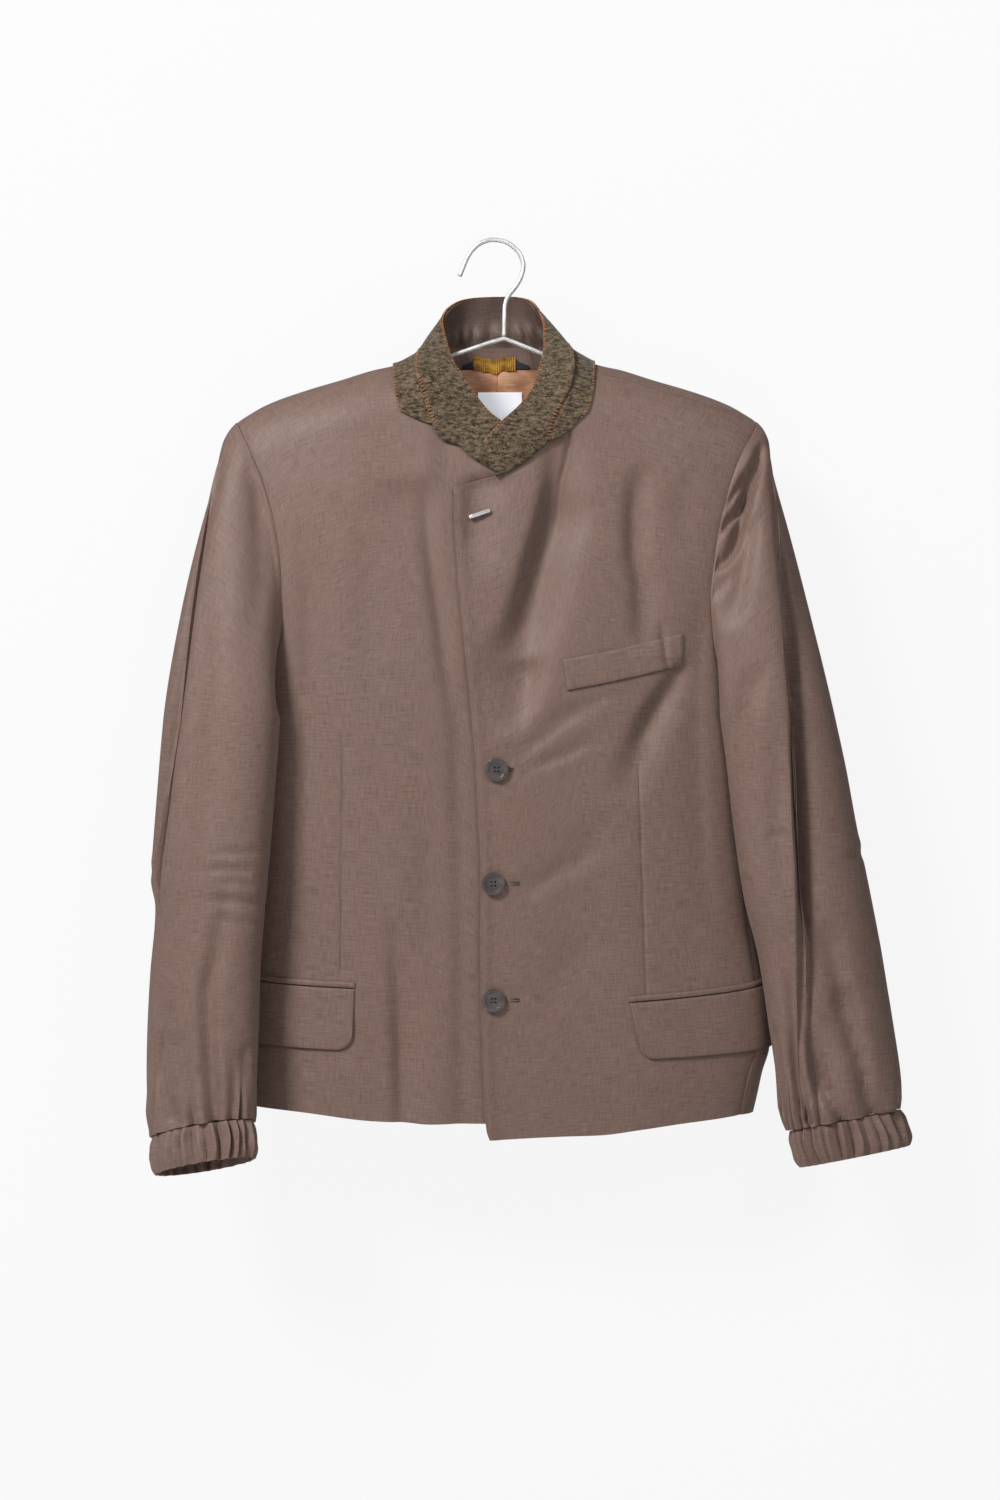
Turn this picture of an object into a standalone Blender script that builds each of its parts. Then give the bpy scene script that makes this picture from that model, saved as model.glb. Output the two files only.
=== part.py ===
"""Cropped tailored jacket with gathered cuffs, hung on a wire hanger.

Metres, +Z up, the front of the jacket faces -Y and +X is the picture's right.
The origin is the inside top of the hanger's hook, where a rail or peg carries it.
All sizes in the tables are millimetres; MM turns them into metres.
"""
import math

import bmesh
import bpy
import numpy as np

MM = 0.001

# Cloth
WALL = 1.6            # wall of every panel
FELT = 1.5            # wall of the collar felt
LINING = 1.0          # wall of lining, loop and label
SEAM = 0.17           # each edge is drawn back by this, so seams are 0.34 open
LIE = 0.7             # a piece that lies on a panel stays this far above its form
UNDER_FELT = 5.0      # the panels stop this far short of the neck seam under the felt
NECK_EASE = 3.0       # and this far beside it where it runs steeply
UNDERLAP = 2.6        # how far the right front sits behind the left front
LAP_WIDTH = 38.0      # how far the right front runs on under the left one
ROLL = 50.0           # radius of the roll over the shoulder
POWER = 2.5           # roundness of the body's cross section
CENTRE = 4.0          # x of the middle of the body

# Rows and columns of the panel grids
SEAM_ROWS = 11
FRONT_ARM = (1, 11)   # armhole nodes on the front panel
SIDE_ARM = (11, 16)   # armhole nodes on the side panel
BACK_ARM = (16, 29)   # armhole nodes on the back panel, 29 is node 1 again
NODES = 28            # nodes round an armhole
BUNCH = 1.4           # crowds the shoulder columns towards the neck
HOLD = 2.5            # keeps the armhole's curve out of the middle of a panel

# Body, seen from the front: level, left edge, right edge, front depth, back depth
BODY = (
    (-60, -250, 256, 40, 36),
    (-90, -250, 256, 43, 39),
    (-165, -250, 256, 49, 44),
    (-230, -246, 250, 57, 46),
    (-300, -237, 242, 61, 47),
    (-400, -224, 233, 63, 47),
    (-500, -221, 232, 62, 46),
    (-600, -221, 237, 60, 45),
    (-690, -223, 249, 58, 44),
    (-720, -224, 247, 57, 43),
    (-740, -225, 241, 57, 43),
    (-762, -226, 236, 56, 42),
    (-800, -227, 226, 55, 42),
)

# Shoulder ridge: distance from the middle, level. It climbs steeply to the neck.
RIDGE = (
    (0, -45), (30, -54), (48, -79), (60, -93.5), (75, -103.5), (88, -110), (110, -115),
    (139, -124), (170, -133), (195, -141.5), (210, -148), (222, -155), (236, -164), (252, -178),
)

# Armhole: node, left turn, left level, right turn, right level. Turn is measured
# round the body from the middle of the front (90 is the side).
ARMHOLE = (
    (0, 63.8, -160.8, 64.0, -160.4),
    (1, 61.8, -167.5, 62.2, -168.5),
    (2, 56.8, -187, 56.9, -187),
    (3, 52.9, -209, 53.1, -211),
    (4, 50.1, -231, 51.0, -234),
    (5, 48.3, -257, 49.4, -257),
    (6, 47.6, -288, 48.6, -286),
    (7, 48.3, -318, 48.2, -314),
    (8, 49.8, -346, 49.9, -345),
    (9, 54, -370, 53.5, -377),
    (10, 62, -385, 61, -396),
    (11, 73, -393, 72, -405),
    (12, 84, -396, 84, -408),
    (13, 94, -396, 94, -408),
    (14, 103, -393, 103, -405),
    (15, 111, -386, 111, -398),
    (16, 117, -374, 117, -385),
    (17, 120.5, -357, 120.5, -366),
    (18, 122, -335, 122, -342),
    (19, 122.8, -310, 122.8, -315),
    (20, 123, -285, 123, -288),
    (21, 122.5, -261, 122.5, -262),
    (22, 121.6, -239, 121.6, -239),
    (23, 120.5, -219, 120.5, -219),
    (24, 119.2, -202, 119.2, -202),
    (25, 118, -188, 118, -188),
    (26, 117.0, -177, 117.0, -177),
    (27, 116.4, -168.5, 116.4, -168.5),
    (28, 116.2, -160.8, 116.0, -160.4),
)

# Seams below the armhole: level share (0 hem, 1 armhole), front seam turn, back seam turn
SIDE_SEAM = ((0.0, 67, 113), (0.35, 68.5, 113), (0.7, 69, 114), (1.0, 73, 117))

# Hem of the fronts and the back: x, level
HEM_RIGHT_FRONT = ((36, -780), (-6, -780.6), (-46, -780.3), (-98, -779), (-169, -771.7), (-212, -768.5))
HEM_LEFT_FRONT = ((-2.4, -794.8), (58, -791.7), (94, -790.7), (129, -786.4), (164, -782), (201, -778.4), (218, -776.5))
HEM_BACK = ((-208, -770), (-120, -779), (0, -783), (120, -782), (216, -776))

# Front edge of the left front: level, x
FRONT_EDGE = (
    (-225, -34.2), (-254, -33.7), (-298, -31.1), (-359, -25), (-411, -19.8), (-463, -15.4),
    (-515, -12.8), (-559, -10.7), (-637, -11.1), (-707, -9.4), (-759, -7.6), (-788, -5), (-794.8, -2.4),
)

# Neck seam from the front end to the shoulder seam: x, level
NECK_LEFT_FRONT = (
    (2.8, -214.6), (15.9, -208.3), (31.6, -198.5), (47.4, -183.4), (50.9, -169.2), (58.8, -151.4),
    (66.8, -130.6), (68.8, -116),
)
NECK_RIGHT_FRONT = (
    (6.0, -212), (-4.2, -205.6), (-18.1, -196.7), (-34.8, -185.2), (-50.5, -172.7), (-54.9, -156.7),
    (-60.3, -138), (-66.7, -120.6),
)
# Neck seam over the ridge and round the back: x, path down from the ridge (minus is the back)
NECK_BACK = (
    (-73, 14), (-62, 0), (-58, -12), (-50, -29), (-40, -51), (-26, -66), (-10, -72), (4, -73.5), (18, -72),
    (32, -66), (45, -51), (54, -29), (60, -12), (64, 0), (77, 21),
)
# Shoulder seams, neck to armhole: x, path in front of the ridge
SHOULDER_LEFT = ((-73, 14), (-90, 10), (-140, 7), (-185, 9), (-212, 17), (-225.6, 28.6))
SHOULDER_RIGHT = ((77, 21), (90, 28), (106, 34), (136, 34), (173, 34), (203, 33), (232.6, 31))

# Folds of the fronts: top x, top level, bottom x, bottom level, depth, half width
FOLDS_LEFT_FRONT = (
    (74, -190, 52, -262, 3.2, 13),
    (52, -262, 36, -330, 3.8, 15),
    (36, -330, 12, -405, 2.4, 16),
    (146, -395, 124, -470, 1.8, 17),
    (92, -455, 24, -492, 1.5, 13),
    (118, -520, 60, -560, 1.2, 14),
    (127.5, -470, 134.5, -664, 0.8, 9),
)
FOLDS_RIGHT_FRONT = (
    (-130.6, -450, -133.5, -650, 0.8, 9),
    (-145, -250, -152, -420, -1.6, 15),
    (-60, -230, -44, -420, 1.3, 24),
)

# Sleeve sections. Level, x and y of the middle, half length, half width, turn of the
# long axis (outer end to the back), roll in the picture, pitch (front edge up)
SLEEVE_LEFT = (
    (-430, -239.5, -38, 60, 37, 33, 0, 0),
    (-490, -244.5, -41, 61, 37, 34, 0, 0),
    (-545, -248.8, -43, 62, 37, 35, 0, 0),
    (-568, -250.3, -44, 62, 36, 35, 0, 1),
    (-592, -248.9, -46, 57, 35, 34, 1, 2),
    (-646, -252.0, -49, 55, 34, 31, 2, 5),
    (-690, -253.2, -52, 55, 33, 29, 3, 8),
    (-735, -253.8, -55, 54, 31, 27, 5, 12),
    (-765, -253.2, -58, 52, 29, 26, 6, 15),
    (-784, -252.2, -60, 48, 26, 25, 7, 17),
)
CUFF_LEFT = (
    (-784.6, -252.2, -60, 48, 26, 25, 7, 17),
    (-792, -251.5, -61.5, 49, 27, 25, 7, 17),
    (-808, -249.9, -65.5, 49.5, 27.5, 25, 7, 17),
    (-815.5, -249.3, -67, 48, 26, 25, 7, 17),
)
SLEEVE_RIGHT = (
    (-430, 251, -26, 55, 43, 20, 0, 0),
    (-475, 259.5, -26, 56, 43, 20, 2, 0),
    (-527, 267.6, -27, 57, 42, 20, 4, 1),
    (-577, 276.4, -27, 58, 41, 20, 6, 2),
    (-631, 288.5, -26, 56, 38, 18, 8, 3),
    (-679, 296, -25, 56, 36, 16, 9, 4),
    (-720, 302, -25, 56, 34, 14, 10, 6),
    (-755, 307.5, -25, 55, 32, 12, 11, 7),
    (-771, 310, -25, 53, 29, 12, 11, 8),
    (-781, 311, -25, 50, 26, 12, 11, 8),
)
CUFF_RIGHT = (
    (-781.6, 311, -25, 50, 26, 12, 11, 8),
    (-789, 313, -25.6, 51, 27, 12, 11, 8),
    (-805.5, 317.4, -27.5, 51.5, 27.5, 12, 11, 8),
    (-813, 319, -28.4, 50, 26, 12, 11, 8),
)
CUFF_DEPTH = (0.25, 2.0, 2.2, 1.5)   # height of the gathers down a cuff
GATHERS = 18
# Angle round a sleeve section for each armhole node, just under the arm and at the
# cuff. The twist between them throws the long fold down the front of the sleeve.
SECTION_LEFT = (
    (-15, -122, -128), (-12, -106, -118), (-8, -62, -84), (-5, -25, -48), (-3, 4, -18),
    (-2, 24, -2), (-1, 45, 14), (0, 66, 30), (1, 74, 38), (4, 118, 92), (7, 158, 146),
    (10, 196, 190), (13, 238, 232),
)
SECTION_RIGHT = (
    (-15, -135, -135), (-12, -112, -110), (-8, -62, -45), (-5, -18, 10), (-3, 18, 52),
    (-2, 40, 80), (-1, 64, 104), (0, 90, 128), (1, 98, 139), (4, 130, 160), (7, 160, 185),
    (10, 188, 207), (13, 225, 225),
)
CAP_ROWS = 7
LOWER_ROWS = 11
CAP_SWING = 0.4       # how strongly the sleeve head leaves the armhole sideways
TOP_SLEEVE = (-6, 10)     # nodes, back seam to front seam over the crown
UNDER_SLEEVE = (10, 22)
BODY_GAP = 5.5        # sleeve to body
FLAP_GAP = 9.5        # sleeve to body over the pocket flaps

# The long fold behind node 1: level, depth for the left sleeve, for the right sleeve,
# and the share of it at the nodes behind
SLEEVE_FOLD = (
    (-190, 0, 0), (-235, 5, 9), (-300, 8, 15), (-430, 9, 17), (-560, 9, 16), (-600, 4, 15),
    (-650, 1, 13), (-700, 0, 9), (-745, 0, 2), (-770, 0, 0),
)
FOLD_SHARE = ((-4, 0), (-3, 0.04), (-2, 0.22), (-1, 0.6), (0, 1), (1, 0), (2, -0.05), (3, 0))
# Lesser folds: picture side, top node, top level, bottom node, bottom level, depth, nodes wide
SLEEVE_FOLDS = (
    (-1, 3, -690, 3, -782, 3.0, 0.9),
    (-1, 6, -640, 6, -782, 3.0, 0.9),
    (1, -1.5, -655, 0, -765, 4.0, 0.8),
    (1, 2, -200, 6, -330, 5.0, 0.9),
    (1, 3, -215, 7, -300, 3.0, 0.7),
)

# Standing collar: base on the neck seam is found from the same tables; this gives the
# opening edge. Station share along the neck seam, x, y, level
COLLAR_TOP = (
    (0.00, 20, -45.5, -178),
    (0.045, 8, -47, -167),
    (0.09, -2.4, -45, -158.8),
    (0.14, -14.7, -41, -143.1),
    (0.20, -27.1, -36, -124.2),
    (0.25, -36.1, -28, -108.6),
    (0.29, -41, -15, -91),
    (0.335, -44.8, 4, -70.5),
    (0.375, -41, 18, -58),
    (0.42, -28, 30, -47),
    (0.47, -12, 36, -43.4),
    (0.51, 2, 37.5, -42.6),
    (0.55, 15, 36, -42.8),
    (0.60, 29, 31, -45.5),
    (0.645, 39.5, 20, -57),
    (0.685, 45.4, 3, -76),
    (0.725, 45.5, -13, -96),
    (0.765, 41, -28, -116.6),
    (0.805, 35.6, -39, -136),
    (0.85, 23, -47, -153.2),
    (0.91, 8, -53, -167.2),
    (1.00, -8.5, -57, -185.9),
)
COLLAR_STATIONS = 40
COLLAR_ROWS = 3
COLLAR_BOW = 2.0      # the band is bowed outwards by this

# Flat felt round the neck: share along the neck seam, outer x, outer path
FELT_OUTER = (
    (0.145, -81, 77),
    (0.175, -83.5, 68),
    (0.22, -85.5, 57),
    (0.265, -87, 42),
    (0.31, -88, 22),
    (0.345, -88.5, 2),
    (0.38, -82, -34),
    (0.42, -64, -66),
    (0.46, -34, -92),
    (0.51, 3, -100),
    (0.56, 38, -92),
    (0.6, 66, -66),
    (0.64, 84, -34),
    (0.67, 90, 4),
    (0.71, 89.5, 28),
    (0.76, 88.5, 50),
    (0.81, 86.5, 66),
    (0.85, 83.5, 79),
    (0.893, 77, 90),
)
FELT_STATIONS = 30

# Hanger wire, centre line: x, level
WIRE = 2.0
HOOK = (
    (-29.8, -30.4), (-26.3, -22), (-23.2, -14.5), (-17.4, -6.2), (-9.4, -0.3), (0, 2), (9.6, 0.6),
    (18.4, -4.6), (24.8, -12.4), (27.2, -21.6), (25.2, -31), (19.6, -41), (14.4, -47.6), (11.6, -53),
    (10.4, -60), (9.9, -84.05),
)
ARMS = (
    (9.9, -86.4), (21, -90.6), (60, -106.4), (92, -117), (150, -134), (188, -144.7), (202, -150),
    (210, -156.2), (213.5, -164), (210.5, -174.5), (200, -179.6), (120, -181), (4, -181.6), (-112, -181),
    (-192, -179.6), (-202.5, -174.5), (-205.5, -164), (-202, -156.2), (-194, -150), (-180, -144.7),
    (-142, -134), (-84, -117), (-52, -107), (-4, -90.4),
)

# Buttons: x, level
BUTTONS = ((3.7, -471.1), (0.6, -570.3), (0.9, -672.0))
BUTTON_RADIUS = 10.0
BUTTON_HEIGHT = 3.2
BUTTON_DISH = 1.0
BUTTON_RIM = 2.6
HOLE_RADIUS = 0.9
HOLE_SPREAD = 1.7

# Pockets: corner x and level, front end first
WELT = ((61.6, -375.6), (165.6, -352.0), (165.0, -379.5), (64.4, -402.1))
JET_LEFT = ((117.9, -669.2), (246, -653.5), (246, -658.0), (118, -673.6))
FLAP_LEFT = ((119.7, -675.0), (246, -659.2), (246, -716.5), (127.0, -724.0))
JET_RIGHT = ((-120.3, -657.2), (-221, -650.5), (-221, -655.0), (-120.5, -661.6))
FLAP_RIGHT = ((-121.1, -663.0), (-221, -656.2), (-221, -710.5), (-122.5, -716.5))
FLAP_CORNER = 15.0

# Metal bar at the collar point: ends x and level
BAR = ((-20.7, -251.4), (-2.4, -245.3))
BAR_RADIUS = 1.8

# Colours
CLOTH = (0.22, 0.165, 0.14)
FELT_COLOUR = (0.13, 0.115, 0.065)
COPPER = (0.51, 0.27, 0.16)
MUSTARD = (0.30, 0.16, 0.01)
NAVY = (0.017, 0.02, 0.032)
WHITE = (0.75, 0.77, 0.86)
HORN = (0.10, 0.085, 0.075)
STEEL = (0.75, 0.74, 0.72)


# ---------------------------------------------------------------- curves through tables
def curve(xs, ys, x):
    """Monotone cubic through the points (xs, ys), read at x."""
    xs = np.asarray(xs, float)
    ys = np.asarray(ys, float)
    if xs[0] > xs[-1]:
        xs = xs[::-1]
        ys = ys[::-1]
    step = np.diff(xs)
    slope = np.diff(ys) / step
    lean = np.zeros(len(xs))
    lean[0] = slope[0]
    lean[-1] = slope[-1]
    for i in range(1, len(xs) - 1):
        if slope[i - 1] * slope[i] > 0:
            w1 = 2 * step[i] + step[i - 1]
            w2 = step[i] + 2 * step[i - 1]
            lean[i] = (w1 + w2) / (w1 / slope[i - 1] + w2 / slope[i])
    x = np.clip(np.asarray(x, float), xs[0], xs[-1])
    k = np.clip(np.searchsorted(xs, x) - 1, 0, len(xs) - 2)
    s = (x - xs[k]) / step[k]
    a = ys[k] * (2 * s**3 - 3 * s**2 + 1)
    b = step[k] * lean[k] * (s**3 - 2 * s**2 + s)
    c = ys[k + 1] * (3 * s**2 - 2 * s**3)
    d = step[k] * lean[k + 1] * (s**3 - s**2)
    return a + b + c + d


def column(table, value, x):
    """Column number value of a table, read at x of its first column."""
    return curve([row[0] for row in table], [row[value] for row in table], x)


def along(points, count, bunch=1.0):
    """count + 1 points along a line of points, smoothly. bunch > 1 crowds them to the start."""
    points = np.asarray(points, float)
    steps = np.linalg.norm(np.diff(points, axis=0), axis=1)
    length = np.concatenate([[0], np.cumsum(steps)])
    at = np.linspace(0, 1, count + 1) ** bunch * length[-1]
    return np.stack([curve(length, points[:, i], at) for i in range(points.shape[1])], axis=1)


def ease(x):
    """Smooth step from 0 to 1."""
    x = np.clip(x, 0, 1)
    return x * x * (3 - 2 * x)


# ---------------------------------------------------------------- the body's form
def half_width(x, level):
    return np.where(x < CENTRE, CENTRE - column(BODY, 1, level), column(BODY, 2, level) - CENTRE)


def ridge_level(x):
    return column(RIDGE, 1, np.abs(x - CENTRE))


def turn_of(x, level):
    """Signed angle from the middle (front or back) at which the body reaches x."""
    share = np.clip(np.abs(x - CENTRE) / half_width(x, level), 0, 1)
    turn = np.degrees(np.arcsin(share ** (POWER / 2)))
    return np.where(x < CENTRE, -turn, turn)


def x_of(turn, level):
    side = np.where(turn < 0, -1.0, 1.0)
    share = np.abs(np.sin(np.radians(turn))) ** (2 / POWER)
    return CENTRE + side * share * half_width(CENTRE + side, level)


def roll_of(drop):
    """Share of the full depth reached at a drop below the ridge."""
    drop = np.clip(drop, 0, ROLL)
    return np.sqrt(np.clip(1 - (1 - drop / ROLL) ** 2, 0, 1))


def path_of(drop):
    """Length along the cloth for a drop below the ridge."""
    drop = np.maximum(drop, 0)
    rolled = ROLL * np.arccos(np.clip(1 - drop / ROLL, 0, 1))
    return np.where(drop < ROLL, rolled, ROLL * math.pi / 2 + drop - ROLL)


def drop_of(path):
    path = np.abs(path)
    rolled = ROLL * (1 - np.cos(np.clip(path / ROLL, 0, math.pi / 2)))
    return np.where(path < ROLL * math.pi / 2, rolled, path - ROLL * math.pi / 2 + ROLL)


def depth_at(path, level):
    return np.where(path > 0, -column(BODY, 3, level), column(BODY, 4, level))


def torso_point(turn, path):
    """Point at a signed turn from the middle and a path from the ridge, minus down the back."""
    side = np.where(turn < 0, -1.0, 1.0)
    drop = drop_of(path)
    level = ridge_level(CENTRE + side * 200) - drop
    for _ in range(8):
        x = x_of(turn, level)
        level = ridge_level(x) - drop
    deep = np.abs(np.cos(np.radians(turn))) ** (2 / POWER)
    y = depth_at(path, level) * deep * roll_of(drop)
    return np.stack([x, y, level], axis=-1)


def ridge_point(x, path):
    """The same surface read at x and a path from the ridge."""
    level = ridge_level(x) - drop_of(path)
    share = np.clip(np.abs(x - CENTRE) / half_width(x, level), 0, 1)
    deep = (1 - share**POWER) ** (1 / POWER)
    y = depth_at(path, level) * deep * roll_of(drop_of(path))
    return np.stack([x + 0 * y, y, level + 0 * y], axis=-1)


def side_point(side):
    """The side of the body: turn runs 0 front, 90 side, 180 back."""
    def at(turn, level):
        x = x_of(side * turn, level)
        deep = np.abs(np.cos(np.radians(turn))) ** (2 / POWER)
        depth = np.where(turn < 90, -column(BODY, 3, level), column(BODY, 4, level))
        ridge = ridge_level(x)
        y = depth * deep * roll_of(ridge - level)
        return np.stack([x, y, np.minimum(level, ridge)], axis=-1)
    return at


def fold_depth(folds, x, level):
    """How far the folds in a table push the cloth in at a place of a front."""
    total = 0 * x
    for top_x, top, low_x, low, depth, half in folds:
        dx = low_x - top_x
        dz = low - top
        share = ((x - top_x) * dx + (level - top) * dz) / (dx * dx + dz * dz)
        held = np.clip(share, 0, 1)
        away = np.hypot(x - top_x - held * dx, level - top - held * dz)
        total = total + depth * np.exp(-((away / half) ** 2))
    return total


def front_shift(x, level, panel):
    """How far a front lies behind the plain form. panel is left or right, as worn."""
    left = fold_depth(FOLDS_LEFT_FRONT, x, level)
    if panel == "left":
        return left
    under = ease((x - column(FRONT_EDGE, 1, level) + 26) / 22)
    return under * (UNDERLAP + left) + (1 - under) * fold_depth(FOLDS_RIGHT_FRONT, x, level)


def front_at(panel):
    """Surface of a front, read at a signed turn and a path."""
    def at(turn, path):
        point = torso_point(turn, path)
        point[..., 1] += front_shift(point[..., 0], point[..., 2], panel)
        return point
    return at


def place(x, level):
    """Signed turn and path on the front for x and level."""
    x = np.asarray(x, float)
    level = np.asarray(level, float)
    return turn_of(x, level), path_of(ridge_level(x) - level)


def normals(surface, first, second, sign=-1.0):
    """Unit normals of a surface at its two coordinates."""
    across = surface(first + 0.25, second) - surface(first - 0.25, second)
    down = surface(first, second + 0.5) - surface(first, second - 0.5)
    normal = sign * np.cross(across, down)
    return normal / np.maximum(np.linalg.norm(normal, axis=-1, keepdims=True), 1e-12)


def armhole(nodes, side):
    """Turn and level of armhole nodes (29 is node 1 again) on one side."""
    nodes = np.asarray(nodes, float)
    nodes = np.where(nodes >= NODES, nodes - NODES, nodes)
    turn = column(ARMHOLE, 1 if side < 0 else 3, nodes)
    level = column(ARMHOLE, 2 if side < 0 else 4, nodes)
    return turn, level


# ---------------------------------------------------------------- grids
def coons(low, high, first, last, hold=1.0):
    """Fill a grid between four edges. Rows run low to high, columns first to last.
    hold > 1 keeps the wander of the first and last edges near those edges."""
    v = np.linspace(0, 1, len(first))[:, None, None]
    u = np.linspace(0, 1, len(low))[None, :, None]
    wander_first = first[:, None] - (1 - v) * first[0] - v * first[-1]
    wander_last = last[:, None] - (1 - v) * last[0] - v * last[-1]
    return (1 - v) * low[None] + v * high[None] + (1 - u) ** hold * wander_first + u**hold * wander_last


def grid_normals(grid, sign, ring=False):
    """Unit normals of a grid that has no formula."""
    if ring:
        across = np.roll(grid, -1, axis=1) - np.roll(grid, 1, axis=1)
    else:
        across = np.gradient(grid, axis=1)
    normal = sign * np.cross(across, np.gradient(grid, axis=0))
    return normal / np.maximum(np.linalg.norm(normal, axis=2, keepdims=True), 1e-9)


def draw_back(grid, edges, amount=SEAM):
    """Draw the named edges of a grid back into it. amount can be one number a node."""
    drawn = grid.copy()
    amount = np.reshape(amount, (-1, 1))
    places = {
        "low": (np.s_[0, :], np.s_[1, :]),
        "high": (np.s_[-1, :], np.s_[-2, :]),
        "first": (np.s_[:, 0], np.s_[:, 1]),
        "last": (np.s_[:, -1], np.s_[:, -2]),
    }
    for edge in edges:
        rim, inner = places[edge]
        way = grid[inner] - grid[rim]
        way = way / np.maximum(np.linalg.norm(way, axis=-1, keepdims=True), 1e-9)
        drawn[rim] = drawn[rim] + amount * way
    return drawn


def shell(name, grid, normal, wall, colour, rough=0.8, lift=0.0, ring=False):
    """A closed wall on a grid: outer skin on the grid, inner skin one wall in."""
    outer = grid + normal * lift
    inner = outer - normal * wall
    rows, cols = grid.shape[:2]
    points = np.concatenate([outer.reshape(-1, 3), inner.reshape(-1, 3)]) * MM
    half = rows * cols
    faces = []
    last = cols if ring else cols - 1
    for j in range(rows - 1):
        for i in range(last):
            a = j * cols + i
            b = j * cols + (i + 1) % cols
            c = (j + 1) * cols + (i + 1) % cols
            d = (j + 1) * cols + i
            faces.append((a, b, c, d))
            faces.append((half + d, half + c, half + b, half + a))
    for i in range(last):
        n = (i + 1) % cols
        top = (rows - 1) * cols
        faces.append((half + i, half + n, n, i))
        faces.append((top + i, top + n, half + top + n, half + top + i))
    if not ring:
        for j in range(rows - 1):
            a = j * cols
            b = (j + 1) * cols
            faces.append((a, b, half + b, half + a))
            a += cols - 1
            b += cols - 1
            faces.append((half + a, half + b, b, a))
    return solid(name, points, faces, colour, rough)


def solid(name, points, faces, colour, rough=0.8, metal=0.0):
    mesh = bpy.data.meshes.new(name)
    mesh.from_pydata([tuple(p) for p in points], [], faces)
    mesh.validate()
    bm = bmesh.new()
    bm.from_mesh(mesh)
    bmesh.ops.recalc_face_normals(bm, faces=bm.faces)
    bm.to_mesh(mesh)
    bm.free()
    made = bpy.data.objects.new(name, mesh)
    bpy.context.scene.collection.objects.link(made)
    paint(made, colour, rough, metal)
    return made


def paint(made, colour, rough=0.8, metal=0.0):
    material = bpy.data.materials.new(made.name + "_material")
    material.use_nodes = True
    shader = material.node_tree.nodes["Principled BSDF"]
    shader.inputs["Base Color"].default_value = (*colour, 1)
    shader.inputs["Roughness"].default_value = rough
    shader.inputs["Metallic"].default_value = metal
    made.data.materials.clear()
    made.data.materials.append(material)


# ---------------------------------------------------------------- sleeve forms
def section_point(table, level, turn, side):
    """Points of a sleeve section at a level of its table and an angle round it."""
    turn = np.radians(turn)
    x, y, half_long, half_wide, lean, roll, pitch = [column(table, k, level) for k in range(1, 8)]
    lean = np.radians(lean)
    a = half_long * np.cos(turn)
    b = half_wide * np.sin(turn)
    dx = side * (a * np.cos(lean) + b * np.sin(lean))
    dy = a * np.sin(lean) - b * np.cos(lean)
    dz = np.tan(np.radians(roll)) * dx - np.tan(np.radians(pitch)) * dy
    return np.stack([x + dx, y + dy, level + dz], axis=-1)


def node_turn(nodes, level, side):
    """Angle round the section for the node lines at a level."""
    table = SECTION_LEFT if side < 0 else SECTION_RIGHT
    share = np.clip((-430 - level) / 350, 0, 1)
    return column(table, 1, nodes) * (1 - share) + column(table, 2, nodes) * share


def sleeve_pull(side, nodes, level):
    """How far the folds pull a sleeve in at nodes and levels."""
    depth = column(SLEEVE_FOLD, 1 if side < 0 else 2, level)
    total = depth * column(FOLD_SHARE, 1, nodes)
    for where, node_top, top, node_low, low, deep, wide in SLEEVE_FOLDS:
        if where != side:
            continue
        share = (level - top) / (low - top)
        fade = ease(share / 0.25) * ease((1.02 - share) / 0.12)
        centre = node_top + (node_low - node_top) * np.clip(share, 0, 1)
        total = total + deep * fade * np.exp(-(((nodes - centre) / wide) ** 2))
    return total


def clear_of_body(points, gap):
    """Move points that are inside the body, or nearer than gap, out to its surface."""
    x = points[..., 0] - CENTRE
    y = points[..., 1]
    level = points[..., 2]
    wide = half_width(points[..., 0], level) + gap
    deep = np.where(y < 0, column(BODY, 3, level), column(BODY, 4, level)) + gap
    reach = ((np.abs(x) / wide) ** POWER + (np.abs(y) / deep) ** POWER) ** (1 / POWER)
    push = np.where(reach < 1, 1 / np.maximum(reach, 0.2), 1.0)
    moved = points.copy()
    moved[..., 0] = CENTRE + x * push
    moved[..., 1] = y * push
    return moved


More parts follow.
